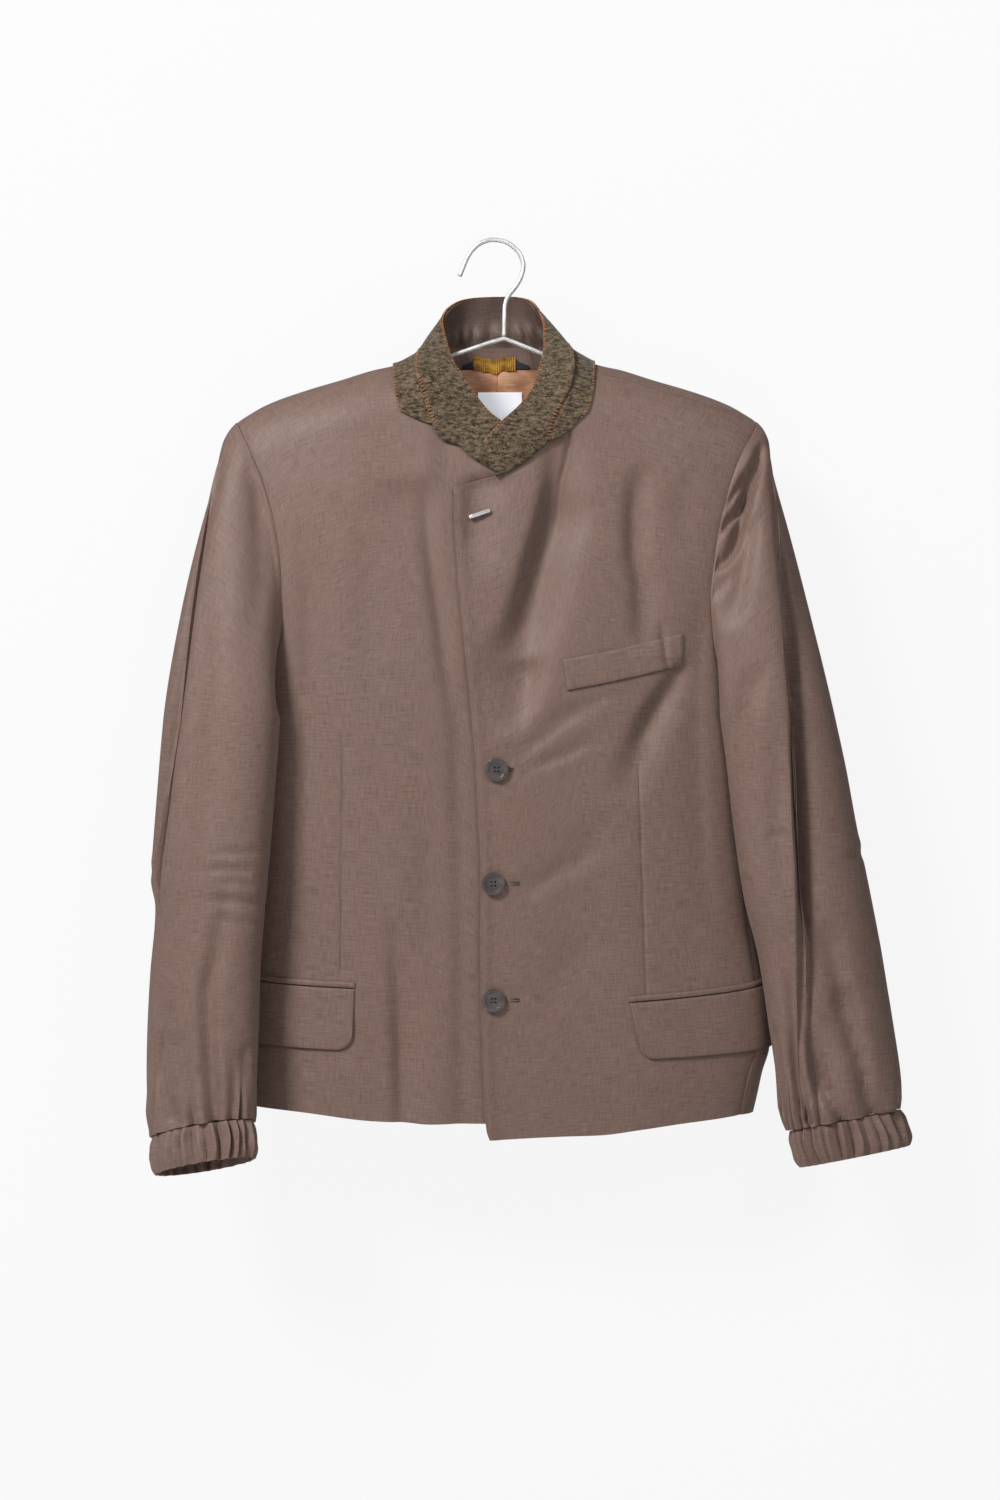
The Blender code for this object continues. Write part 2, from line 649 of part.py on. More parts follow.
def sleeve_form(side):
    """Whole sleeve as a ring grid (rows armhole to cuff) and its normals."""
    table = SLEEVE_LEFT if side < 0 else SLEEVE_RIGHT
    ring = np.arange(NODES, dtype=float)
    nodes = np.where(ring > 13, ring - NODES, ring)
    arm_turn, arm_level = armhole(ring, side)
    start = side_point(side)(arm_turn, arm_level)
    top = float(table[0][0])
    turn = node_turn(nodes, top, side)
    end = section_point(table, np.full(NODES, top), turn, side)
    reach = np.linalg.norm(end - start, axis=1)[:, None]
    crown = ease((start[:, 2:3] + 400) / 240)
    leave = np.concatenate([side * (0.3 + 0.55 * crown), start[:, 1:2] / 90, -0.6 + 0 * crown], axis=1)
    leave = leave / np.linalg.norm(leave, axis=1, keepdims=True) * reach * CAP_SWING
    below = section_point(table, np.full(NODES, top - 20.0), turn, side)
    arrive = (below - end) / 20.0 * reach * 0.9
    rows = []
    centres = []
    for v in np.linspace(0, 1, CAP_ROWS + 1):
        h = (2 * v**3 - 3 * v**2 + 1, v**3 - 2 * v**2 + v, 3 * v**2 - 2 * v**3, v**3 - v**2)
        rows.append(h[0] * start + h[1] * leave + h[2] * end + h[3] * arrive)
        centres.append((start * (1 - v) + end * v).mean(axis=0))
    for level in np.linspace(top, table[-1][0], LOWER_ROWS + 1)[1:]:
        turn = node_turn(nodes, level, side)
        rows.append(section_point(table, np.full(NODES, level), turn, side))
        centres.append(rows[-1].mean(axis=0))
    grid = np.stack(rows)
    inward = np.stack(centres)[:, None] - grid
    inward[..., 2] = 0
    inward = inward / np.maximum(np.linalg.norm(inward, axis=2, keepdims=True), 1e-6)
    pull = sleeve_pull(side, nodes[None] + 0 * grid[..., 2], grid[..., 2])
    pull[0] = 0
    pull[-1] = 0
    grid = grid + inward * pull[..., None]
    level = grid[..., 2]
    gap = BODY_GAP + (FLAP_GAP - BODY_GAP) * ease((-625 - level) / 20)
    moved = clear_of_body(grid, gap)
    limit = np.minimum(arm_level, -360)[None]
    share = ease((limit - level) / 5) * ease((level + 790) / 20)
    grid = grid + (moved - grid) * share[..., None]
    return grid, grid_normals(grid, side, ring=True)


def arm_mitres(side, normal):
    """Wall directions at the armhole nodes, for the body and for the sleeve: one shared
    mitre, but each its own normal where the sleeve doubles back under the arm."""
    nodes = np.arange(NODES)
    turn, level = armhole(nodes, side)
    near_side = np.abs(turn - 90) < 16
    body = normals(side_point(side), turn, level, side)
    x = x_of(side * turn, level)
    face = np.where(turn < 90, 1.0, -1.0)
    middle = np.where(turn < 90, turn, 180 - turn)
    path = face * np.maximum(path_of(ridge_level(x) - level), 0.6)
    torso = normals(torso_point, side * middle, path)
    body = np.where(near_side[:, None], body, torso)
    dot = np.sum(body * normal, axis=1, keepdims=True)
    mitre = (body + normal) / np.maximum(1 + dot, 0.45)
    open_share = ease((dot + 0.3) / 0.6)
    return mitre * open_share + body * (1 - open_share), mitre * open_share + normal * (1 - open_share)


SLEEVES = {}
MITRES = {}
for side in (-1, 1):
    form, normal = sleeve_form(side)
    MITRES[side], normal[0] = arm_mitres(side, normal[0])
    SLEEVES[side] = (form, normal)


# ---------------------------------------------------------------- start clean
for old in list(bpy.data.objects):
    bpy.data.objects.remove(old)


# ---------------------------------------------------------------- sleeves
for side, hand in ((-1, "right"), (1, "left")):
    form, normal = SLEEVES[side]
    for kind, span in (("top_sleeve_", TOP_SLEEVE), ("under_sleeve_", UNDER_SLEEVE)):
        pick = np.mod(np.arange(span[0], span[1] + 1), NODES)
        grid = draw_back(form[:, pick], ("low", "high", "first", "last"), 2 * SEAM)
        shell(kind + hand, grid, normal[:, pick], WALL, CLOTH)


# ---------------------------------------------------------------- fronts
def seam_line(side, which):
    """Turn and level up one side seam from the hem. which is 1 front seam, 2 back seam."""
    node = SIDE_ARM[0] if which == 1 else SIDE_ARM[1]
    turn_top, level_top = armhole([node], side)
    share = np.linspace(0, 1, SEAM_ROWS + 1)
    turn = column(SIDE_SEAM, which, share)
    turn[-1] = turn_top[0]
    ends = {(-1, 1): HEM_RIGHT_FRONT[-1], (1, 1): HEM_LEFT_FRONT[-1], (-1, 2): HEM_BACK[0], (1, 2): HEM_BACK[-1]}
    hem = ends[side, which][1]
    return turn, hem + (level_top[0] - hem) * share


def front_panel(panel, side, shoulder_columns):
    """Grid and normals of a front, rows hem to shoulder, columns front edge to side."""
    turn, level = seam_line(side, 1)
    arm_turn, arm_level = armhole(range(FRONT_ARM[1] - 1, FRONT_ARM[0] - 1, -1), side)
    turn = np.concatenate([turn, arm_turn])
    level = np.concatenate([level, arm_level])
    last = np.stack([side * turn, path_of(ridge_level(x_of(side * turn, level)) - level)], axis=1)
    rows = len(turn) - 1
    columns = (10 if panel == "left" else 9) + shoulder_columns
    hem = along(HEM_LEFT_FRONT if panel == "left" else HEM_RIGHT_FRONT, columns)
    if panel == "left":
        edge_level = np.linspace(hem[0][1], FRONT_EDGE[0][0], rows + 1)
        edge_x = column(FRONT_EDGE, 1, edge_level)
        neck = [(FRONT_EDGE[0][1], FRONT_EDGE[0][0]), (-15, -219.6)] + list(NECK_LEFT_FRONT)
        shoulder = SHOULDER_RIGHT
    else:
        edge_level = np.linspace(hem[0][1], -214.5, rows + 1)
        edge_x = column(FRONT_EDGE, 1, edge_level) + LAP_WIDTH
        neck = [(edge_x[-1], edge_level[-1])] + list(NECK_RIGHT_FRONT)
        shoulder = SHOULDER_LEFT
    neck.append((shoulder[0][0], float(ridge_level(shoulder[0][0]) - drop_of(shoulder[0][1]))))
    neck = np.asarray(neck, float)
    neck[:-1, 0] += side * NECK_EASE * ease((neck[:-1, 1] + 200) / 15)
    seam = along(shoulder, shoulder_columns, BUNCH)
    seam_level = ridge_level(seam[:, 0]) - drop_of(seam[:, 1])
    low = np.stack(place(hem[:, 0], hem[:, 1]), axis=1)
    first = np.stack(place(edge_x, edge_level), axis=1)
    high = np.stack(place(neck[:, 0], neck[:, 1]), axis=1)
    high = np.concatenate([high, np.stack([turn_of(seam[:, 0], seam_level), seam[:, 1]], axis=1)[1:]])
    low[0] = first[0]
    low[-1] = last[0]
    high[0] = first[-1]
    high[-1] = last[-1]
    grid = coons(low, high, first, last, HOLD)
    surface = front_at(panel)
    points = surface(grid[..., 0], grid[..., 1])
    normal = normals(surface, grid[..., 0], grid[..., 1])
    arm = range(FRONT_ARM[1], FRONT_ARM[0] - 1, -1)
    normal[SEAM_ROWS:, -1] = MITRES[side][list(arm)]
    covered = np.full(columns + 1, SEAM)
    covered[6 if panel == "left" else 5:columns - shoulder_columns + 1] = UNDER_FELT
    return draw_back(draw_back(points, ("last",)), ("high",), covered), normal


grid, normal = front_panel("left", 1, 6)
shell("front_left", grid, normal, WALL, CLOTH)
grid, normal = front_panel("right", -1, 6)
shell("front_right", grid, normal, WALL, CLOTH)


# ---------------------------------------------------------------- side panels
def side_panel(side):
    """Grid and normals of a side panel, rows hem to armhole, columns front to back."""
    first = np.stack(seam_line(side, 1), axis=1)
    last = np.stack(seam_line(side, 2), axis=1)
    nodes = list(range(SIDE_ARM[0], SIDE_ARM[1] + 1))
    high = np.stack(armhole(nodes, side), axis=1)
    low = np.linspace(first[0], last[0], len(nodes))
    grid = coons(low, high, first, last)
    points = side_point(side)(grid[..., 0], grid[..., 1])
    normal = normals(side_point(side), grid[..., 0], grid[..., 1], side)
    normal[-1] = MITRES[side][nodes]
    return draw_back(points, ("high", "first", "last")), normal


for side, name in ((1, "side_left"), (-1, "side_right")):
    grid, normal = side_panel(side)
    shell(name, grid, normal, WALL, CLOTH)


# ---------------------------------------------------------------- back
def back_edge(side):
    """Side seam and armhole of the back, hem first, as signed turn and path."""
    turn, level = seam_line(side, 2)
    arm_turn, arm_level = armhole(range(BACK_ARM[0] + 1, BACK_ARM[1] + 1), side)
    turn = np.concatenate([turn, arm_turn])
    level = np.concatenate([level, arm_level])
    face = np.where(turn > 90, -1.0, 1.0)
    path = face * path_of(ridge_level(x_of(side * turn, level)) - level)
    return np.stack([side * np.where(turn > 90, 180 - turn, turn), path], axis=1)


def back_panel(shoulder_columns, neck_columns):
    """Grid and normals of the back, rows hem to neck, columns left to right in the picture."""
    first = back_edge(-1)
    last = back_edge(1)
    hem = along(HEM_BACK, 2 * shoulder_columns + neck_columns)
    turn, path = place(hem[:, 0], hem[:, 1])
    low = np.stack([turn, -path], axis=1)
    left = along(SHOULDER_LEFT, shoulder_columns, BUNCH)[::-1]
    right = along(SHOULDER_RIGHT, shoulder_columns, BUNCH)
    neck = along(NECK_BACK, neck_columns)
    top = np.concatenate([left, neck[1:-1], right])
    level = ridge_level(top[:, 0]) - drop_of(top[:, 1])
    high = np.stack([turn_of(top[:, 0], level), top[:, 1]], axis=1)
    low[0] = first[0]
    low[-1] = last[0]
    high[0] = first[-1]
    high[-1] = last[-1]
    grid = coons(low, high, first, last, HOLD)
    points = torso_point(grid[..., 0], grid[..., 1])
    normal = normals(torso_point, grid[..., 0], grid[..., 1])
    arm = [node % NODES for node in range(BACK_ARM[0], BACK_ARM[1] + 1)]
    normal[SEAM_ROWS:, 0] = MITRES[-1][arm]
    normal[SEAM_ROWS:, -1] = MITRES[1][arm]
    covered = np.full(high.shape[0], SEAM)
    covered[shoulder_columns:-shoulder_columns] = UNDER_FELT
    return draw_back(draw_back(points, ("first", "last")), ("high",), covered), normal


grid, normal = back_panel(6, 10)
shell("back", grid, normal, WALL, CLOTH)


# ---------------------------------------------------------------- cuffs
def cuff(side):
    """Grid and normals of a gathered cuff: rings with their own height of gathers."""
    table = CUFF_LEFT if side < 0 else CUFF_RIGHT
    turn = np.arange(GATHERS * 4) * 360 / (GATHERS * 4)
    wave = np.sin(np.radians(turn * GATHERS))
    uneven = 1 + 0.3 * np.sin(np.radians(turn * 3 + 40))
    rows = []
    for row, depth in zip(table, CUFF_DEPTH):
        ring = section_point(table, np.full(len(turn), float(row[0])), turn, side)
        way = ring - ring.mean(axis=0)
        way = way / np.linalg.norm(way, axis=1, keepdims=True)
        rows.append(ring + way * (wave * depth * uneven)[:, None])
    grid = np.stack(rows)
    return grid, grid_normals(grid, side, ring=True)


for side, name in ((-1, "cuff_right"), (1, "cuff_left")):
    grid, normal = cuff(side)
    shell(name, grid, normal, WALL, CLOTH, ring=True)


# ---------------------------------------------------------------- collar
def neck_seam(share):
    """Points and outward normals along the neck seam: right front, over the back, left front."""
    right = np.asarray(NECK_RIGHT_FRONT, float)
    left = np.asarray(NECK_LEFT_FRONT, float)[::-1]
    over = np.asarray(NECK_BACK, float)[1:-1]
    x = np.concatenate([right[:, 0], over[:, 0], left[:, 0]])
    path = np.concatenate([place(right[:, 0], right[:, 1])[1], over[:, 1], place(left[:, 0], left[:, 1])[1]])
    line = ridge_point(x, path)
    length = np.concatenate([[0], np.cumsum(np.linalg.norm(np.diff(line, axis=0), axis=1))])
    at = np.asarray(share) * length[-1]
    x = curve(length, x, at)
    path = curve(length, path, at)
    points = ridge_point(x, path)
    low_front = path > 20
    shift = np.where(at < length[-1] / 2, front_shift(x, points[:, 2], "right"), front_shift(x, points[:, 2], "left"))
    points[:, 1] += np.where(low_front, shift, 0)
    return points, normals(ridge_point, x, path), x, path


def collar_grid(stations, first=0.0, last=1.0, low=0.0, high=1.0):
    """Standing band: rows from the neck seam to the opening edge, and its normals."""
    share = np.linspace(first, last, stations + 1)
    base, outward, _, _ = neck_seam(share)
    end = 1 - ease((1 - share) / 0.1)
    base = base + outward * (FELT + LIE + 0.6 - 0.6 * end)[:, None]
    base[:, 2] -= 3.0 * end
    top = np.stack([column(COLLAR_TOP, k, share) for k in (1, 2, 3)], axis=1)
    out = (base + top) / 2 - np.array([1.0, -8.0, 0.0])
    out[:, 2] = 0
    out = out / np.maximum(np.linalg.norm(out, axis=1, keepdims=True), 1e-6)
    rows = []
    for v in np.linspace(low, high, COLLAR_ROWS + 1):
        rows.append(base + (top - base) * v + out * COLLAR_BOW * math.sin(math.pi * v))
    grid = np.stack(rows)
    return grid, grid_normals(grid, -1)


grid, normal = collar_grid(COLLAR_STATIONS)
shell("collar_stand", grid, normal, FELT, FELT_COLOUR, 0.95, lift=FELT)
facing = grid[:, 3:-3].copy()
facing[0] = facing[0] * 0.75 + facing[1] * 0.25
facing[-1] = facing[-1] * 0.95 + facing[-2] * 0.05
shell("collar_facing", facing, normal[:, 3:-3], LINING, CLOTH, lift=-1.5)


def flat_felt():
    """Flat felt round the neck, rows from the neck seam outwards, and its normals."""
    share = np.linspace(FELT_OUTER[0][0], FELT_OUTER[-1][0], FELT_STATIONS + 1)
    _, _, inner_x, inner_path = neck_seam(share)
    outer_x = column(FELT_OUTER, 1, share)
    outer_path = column(FELT_OUTER, 2, share)
    v = np.linspace(0.07, 1, 4)[:, None]
    x = inner_x + (outer_x - inner_x) * v
    path = inner_path + (outer_path - inner_path) * v
    return ridge_point(x, path), normals(ridge_point, x, path)


grid, normal = flat_felt()
shell("collar_neck", grid, normal, FELT, FELT_COLOUR, 0.95, lift=LIE + FELT + 1.9)


# ---------------------------------------------------------------- inside the neck
def inside_patch(left, right, top, bottom, columns, rows):
    """Patch on the back between two x and two levels, and its normals."""
    x = np.linspace(left, right, columns + 1)[None, :] + np.zeros((rows + 1, 1))
    level = np.linspace(bottom, top, rows + 1)[:, None] + 0 * x
    path = -path_of(np.maximum(ridge_level(x) - level, 0.5))
    return ridge_point(x, path), normals(ridge_point, x, path)


IN = WALL + 4.4
NEXT = IN + LINING + 0.4
INSIDE = (
    # name, left, right, top, bottom, columns, rows, how far in, colour, roughness
    ("neck_facing", -40, 47, -93, -108.4, 12, 2, IN, CLOTH, 0.8),
    ("lining_back", -52, 58, -108.8, -192, 10, 6, IN, COPPER, 0.5),
    ("neck_label", -13.7, 26.3, -129, -167, 5, 4, NEXT, WHITE, 0.6),
    ("hanging_loop", -18, 20.6, -99, -110.5, 8, 2, NEXT, MUSTARD, 0.8),
    ("loop_end_left", 20.95, 32.6, -100.5, -108, 3, 1, NEXT, NAVY, 0.8),
    ("loop_end_right", -28.3, -18.35, -100.5, -108, 3, 1, NEXT, NAVY, 0.8),
)
for name, left, right, top, bottom, columns, rows, inset, colour, rough in INSIDE:
    grid, normal = inside_patch(left, right, top, bottom, columns, rows)
    shell(name, grid, normal, LINING, colour, rough, lift=-inset)


# ---------------------------------------------------------------- pockets
def patch_on_front(corners, panel, columns, rows, corner_radius=0.0):
    """Four-cornered patch on a front; the lower front corner can be rounded off."""
    p = np.asarray(corners, float)
    u = np.linspace(0, 1, columns + 1)[None, :] ** (1.4 if corner_radius else 1.0)
    v = np.linspace(0, 1, rows + 1)[:, None]
    turns = np.clip(turn_of(p[:, 0], p[:, 1]), -86, 86)
    turn = (1 - v) * ((1 - u) * turns[3] + u * turns[2]) + v * ((1 - u) * turns[0] + u * turns[1])
    level = (1 - v) * ((1 - u) * p[3, 1] + u * p[2, 1]) + v * ((1 - u) * p[0, 1] + u * p[1, 1])
    if corner_radius:
        x = x_of(turn, level)
        away = np.abs(x - x[:, :1])
        cut = np.clip(corner_radius - away, 0, corner_radius)
        level = level + (corner_radius - np.sqrt(corner_radius**2 - cut**2)) * (1 - v) ** 2
    path = path_of(ridge_level(x_of(turn, level)) - level)
    surface = front_at(panel)
    return surface(turn, path), normals(surface, turn, path)


POCKETS = (
    ("chest_welt", WELT, "left", 7, 2, 0),
    ("jet_left", JET_LEFT, "left", 9, 1, 0),
    ("flap_left", FLAP_LEFT, "left", 12, 4, FLAP_CORNER),
    ("jet_right", JET_RIGHT, "right", 8, 1, 0),
    ("flap_right", FLAP_RIGHT, "right", 10, 4, FLAP_CORNER),
)
for name, corners, panel, columns, rows, radius in POCKETS:
    grid, normal = patch_on_front(corners, panel, columns, rows, radius)
    shell(name, grid, normal, WALL, CLOTH, lift=LIE + WALL)


# ---------------------------------------------------------------- buttons
def seat_on_left(x, level):
    turn, path = place(x, level)
    return front_at("left")(turn, path)


def button(name, x, level):
    """Turned disc with a raised rim and four holes."""
    flat = BUTTON_RADIUS - BUTTON_RIM
    profile = (
        (0.0, 0.0), (BUTTON_RADIUS - 1.2, 0.0), (BUTTON_RADIUS, 1.1),
        (BUTTON_RADIUS - 0.5, BUTTON_HEIGHT), (flat, BUTTON_HEIGHT),
        (flat - 0.9, BUTTON_HEIGHT - BUTTON_DISH), (0.0, BUTTON_HEIGHT - BUTTON_DISH),
    )
    around = 18
    points = []
    rings = []
    for radius, height in profile:
        if radius == 0.0:
            rings.append([len(points)] * around)
            points.append((0.0, -height, 0.0))
            continue
        rings.append(list(range(len(points), len(points) + around)))
        for k in range(around):
            angle = 2 * math.pi * k / around
            points.append((radius * math.cos(angle), -height, radius * math.sin(angle)))
    faces = []
    for low, high in zip(rings, rings[1:]):
        for k in range(around):
            n = (k + 1) % around
            faces.append(tuple(dict.fromkeys([low[k], low[n], high[n], high[k]])))
    seat = seat_on_left(x, level) + np.array([0.0, -0.7, 0.0])
    made = solid(name, (np.asarray(points) + seat) * MM, faces, HORN, 0.3)
    for sx in (-1, 1):
        for sz in (-1, 1):
            bpy.ops.mesh.primitive_cylinder_add(vertices=6, radius=HOLE_RADIUS * MM, depth=12 * MM)
            cutter = bpy.context.object
            cutter.location = tuple((seat + np.array([sx * HOLE_SPREAD, 0, sz * HOLE_SPREAD])) * MM)
            cutter.rotation_euler = (math.pi / 2, 0, 0)
            bpy.context.view_layer.update()
            cut = made.modifiers.new("holes", "BOOLEAN")
            cut.operation = "DIFFERENCE"
            cut.solver = "EXACT"
            cut.object = cutter
            bpy.context.view_layer.objects.active = made
            bpy.ops.object.modifier_apply(modifier=cut.name)
            bpy.data.objects.remove(cutter)
    return made


for number, (x, level) in enumerate(BUTTONS, 1):
    button("button_%d" % number, x, level)


# ---------------------------------------------------------------- metal
def wire(name, line, radius, closed, sides=2):
    """A round wire along points of a centre line."""
    line_data = bpy.data.curves.new(name, "CURVE")
    line_data.dimensions = "3D"
    line_data.bevel_depth = radius * MM
    line_data.bevel_resolution = sides
    line_data.use_fill_caps = not closed
    spline = line_data.splines.new("POLY")
    spline.points.add(len(line) - 1)
    for point, spot in zip(spline.points, line):
        point.co = (spot[0] * MM, spot[1] * MM, spot[2] * MM, 1)
    spline.use_cyclic_u = closed
    made = bpy.data.objects.new(name, line_data)
    bpy.context.scene.collection.objects.link(made)
    bpy.context.view_layer.update()
    graph = bpy.context.evaluated_depsgraph_get()
    mesh = bpy.data.meshes.new_from_object(made.evaluated_get(graph))
    bpy.data.objects.remove(made)
    bm = bmesh.new()
    bm.from_mesh(mesh)
    bmesh.ops.remove_doubles(bm, verts=bm.verts, dist=1e-6)
    bmesh.ops.recalc_face_normals(bm, faces=bm.faces)
    bm.to_mesh(mesh)
    bm.free()
    made = bpy.data.objects.new(name, mesh)
    bpy.context.scene.collection.objects.link(made)
    paint(made, STEEL, 0.2, 1.0)
    return made


wire("hanger_hook", [(x, 0, z) for x, z in HOOK], WIRE, False)
wire("hanger_arms", [(x, 0, z) for x, z in ARMS], WIRE, True)
BAR_RISE = np.array([0, -BAR_RADIUS - 0.6, 0])
wire("collar_bar", [seat_on_left(x, level) + BAR_RISE for x, level in BAR], BAR_RADIUS, False, 4)
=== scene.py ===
"""Looks of the cropped tailored jacket on its wire hanger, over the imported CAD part.

Row frame: metres, +Z up, the front of the jacket faces -Y, +X is the picture's right, and
the origin is the inside top of the hook. Tables are in millimetres; MM turns them to metres.
"""

import math

import bmesh
import bpy
import numpy as np
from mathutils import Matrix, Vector


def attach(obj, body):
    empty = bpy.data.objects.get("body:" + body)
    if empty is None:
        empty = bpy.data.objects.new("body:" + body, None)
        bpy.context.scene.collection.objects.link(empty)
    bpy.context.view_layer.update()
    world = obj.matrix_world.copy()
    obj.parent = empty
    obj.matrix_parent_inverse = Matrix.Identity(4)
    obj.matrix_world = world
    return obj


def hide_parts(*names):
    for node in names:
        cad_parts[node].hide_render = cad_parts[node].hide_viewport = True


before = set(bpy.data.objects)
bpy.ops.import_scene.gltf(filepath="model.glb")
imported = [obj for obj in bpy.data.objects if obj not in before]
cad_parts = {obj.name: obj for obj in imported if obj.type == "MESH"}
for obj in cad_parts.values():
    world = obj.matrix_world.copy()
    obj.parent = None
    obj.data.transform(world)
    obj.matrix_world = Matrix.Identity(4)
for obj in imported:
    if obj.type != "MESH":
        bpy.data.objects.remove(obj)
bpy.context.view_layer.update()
bpy.ops.object.select_all(action="DESELECT")


# ================================================================ body cloth
# The body is five panels of brown worsted: two fronts, two side panels and one back that
# reaches over the shoulder ridge. They hang from the ridge and are sewn edge to edge.
MM = 0.001
WALL = 1.6            # wall of every panel
LIE = 0.7             # a piece that lies on a panel stays this far above its form
SEAM = 0.17           # each edge is drawn back by this, so seams are 0.34 open
UNDER_FELT = 3.0      # the panels stop this far short of the neck seam under the felt
NECK_EASE = 2.0       # and this far beside it where it runs steeply
UNDERLAP = 2.6        # how far the right front sits behind the left front
LAP_WIDTH = 38.0      # how far the right front runs on under the left one
ROLL = 50.0           # radius of the roll over the shoulder
POWER = 2.5           # roundness of the body's cross section
CENTRE = 4.0          # x of the middle of the body
FRONT_ARM = (1, 11)   # armhole nodes on the front panel
SIDE_ARM = (11, 16)   # armhole nodes on the side panel
BACK_ARM = (16, 29)   # armhole nodes on the back panel, 29 is node 1 again
NODES = 28            # nodes round an armhole
BUNCH = 1.4           # crowds the shoulder columns towards the neck
HOLD = 2.5            # keeps the armhole's curve out of the middle of a panel

# Body, seen from the front: level, left edge, right edge, front depth, back depth
BODY = (
    (-60, -250, 256, 40, 36),
    (-90, -250, 256, 43, 39),
    (-165, -250, 256, 49, 44),
    (-230, -246, 250, 57, 46),
    (-300, -237, 242, 61, 47),
    (-400, -224, 233, 63, 47),
    (-500, -221, 232, 62, 46),
    (-600, -221, 237, 60, 45),
    (-690, -223, 249, 58, 44),
    (-720, -224, 247, 57, 43),
    (-740, -225, 241, 57, 43),
    (-762, -226, 236, 56, 42),
    (-800, -227, 226, 55, 42),
)
# Shoulder ridge: distance from the middle, level. It climbs steeply to the neck.
RIDGE = (
    (0, -45), (30, -54), (48, -79), (60, -93.5), (75, -103.5), (88, -110), (110, -115),
    (139, -124), (170, -133), (195, -141.5), (210, -148), (222, -155), (236, -164), (252, -178),
)
# Armhole: node, left turn, left level, right turn, right level. Turn is measured
# round the body from the middle of the front (90 is the side).
ARMHOLE = (
    (0, 63.8, -160.8, 64.0, -160.4),
    (1, 61.8, -167.5, 62.2, -168.5),
    (2, 56.8, -187, 56.9, -187),
    (3, 52.9, -209, 53.1, -211),
    (4, 50.1, -231, 51.0, -234),
    (5, 48.3, -257, 49.4, -257),
    (6, 47.6, -288, 48.6, -286),
    (7, 48.3, -318, 48.2, -314),
    (8, 49.8, -346, 49.9, -345),
    (9, 54, -370, 53.5, -377),
    (10, 62, -385, 61, -396),
    (11, 73, -393, 72, -405),
    (12, 84, -396, 84, -408),
    (13, 94, -396, 94, -408),
    (14, 103, -393, 103, -405),
    (15, 111, -386, 111, -398),
    (16, 117, -374, 117, -385),
    (17, 120.5, -357, 120.5, -366),
    (18, 122, -335, 122, -342),
    (19, 122.8, -310, 122.8, -315),
    (20, 123, -285, 123, -288),
    (21, 122.5, -261, 122.5, -262),
    (22, 121.6, -239, 121.6, -239),
    (23, 120.5, -219, 120.5, -219),
    (24, 119.2, -202, 119.2, -202),
    (25, 118, -188, 118, -188),
    (26, 117.0, -177, 117.0, -177),
    (27, 116.4, -168.5, 116.4, -168.5),
    (28, 116.2, -160.8, 116.0, -160.4),
)
SIDE_SEAM = ((0.0, 67, 113), (0.35, 68.5, 113), (0.7, 69, 114), (1.0, 73, 117))
HEM_RIGHT_FRONT = ((36, -780), (-6, -780.6), (-46, -780.3), (-98, -779), (-169, -771.7), (-212, -768.5))
HEM_LEFT_FRONT = (
    (-2.4, -794.8), (58, -791.7), (94, -790.7), (129, -786.4), (164, -782), (201, -778.4), (218, -776.5),
)
HEM_BACK = ((-208, -770), (-120, -779), (0, -783), (120, -782), (216, -776))
# Front edge of the left front: level, x
FRONT_EDGE = (
    (-225, -34.2), (-254, -33.7), (-298, -31.1), (-359, -25), (-411, -19.8), (-463, -15.4),
    (-515, -12.8), (-559, -10.7), (-637, -11.1), (-707, -9.4), (-759, -7.6), (-788, -5), (-794.8, -2.4),
)
# Neck seam from the front end to the shoulder seam: x, level
NECK_LEFT_FRONT = (
    (2.8, -214.6), (15.9, -208.3), (31.6, -198.5), (47.4, -183.4), (50.9, -169.2), (58.8, -151.4),
    (66.8, -130.6), (68.8, -116),
)
NECK_RIGHT_FRONT = (
    (6.0, -212), (-4.2, -205.6), (-18.1, -196.7), (-34.8, -185.2), (-50.5, -172.7), (-54.9, -156.7),
    (-60.3, -138), (-66.7, -120.6),
)
# Neck seam over the ridge and round the back: x, path down from the ridge (minus is the back)
NECK_BACK = (
    (-73, 14), (-62, 0), (-58, -12), (-50, -29), (-40, -51), (-26, -66), (-10, -72), (4, -73.5), (18, -72),
    (32, -66), (45, -51), (54, -29), (60, -12), (64, 0), (77, 21),
)
SHOULDER_LEFT = ((-73, 14), (-90, 10), (-140, 7), (-185, 9), (-212, 17), (-225.6, 28.6))
SHOULDER_RIGHT = ((77, 21), (90, 28), (106, 34), (136, 34), (173, 34), (203, 33), (232.6, 31))


def curve(xs, ys, x):
    """Monotone cubic through the points (xs, ys), read at x."""
    xs = np.asarray(xs, float)
    ys = np.asarray(ys, float)
    if xs[0] > xs[-1]:
        xs = xs[::-1]
        ys = ys[::-1]
    step = np.diff(xs)
    slope = np.diff(ys) / step
    lean = np.zeros(len(xs))
    lean[0] = slope[0]
    lean[-1] = slope[-1]
    for i in range(1, len(xs) - 1):
        if slope[i - 1] * slope[i] > 0:
            w1 = 2 * step[i] + step[i - 1]
            w2 = step[i] + 2 * step[i - 1]
            lean[i] = (w1 + w2) / (w1 / slope[i - 1] + w2 / slope[i])
    x = np.clip(np.asarray(x, float), xs[0], xs[-1])
    k = np.clip(np.searchsorted(xs, x) - 1, 0, len(xs) - 2)
    s = (x - xs[k]) / step[k]
    a = ys[k] * (2 * s**3 - 3 * s**2 + 1)
    b = step[k] * lean[k] * (s**3 - 2 * s**2 + s)
    c = ys[k + 1] * (3 * s**2 - 2 * s**3)
    d = step[k] * lean[k + 1] * (s**3 - s**2)
    return a + b + c + d


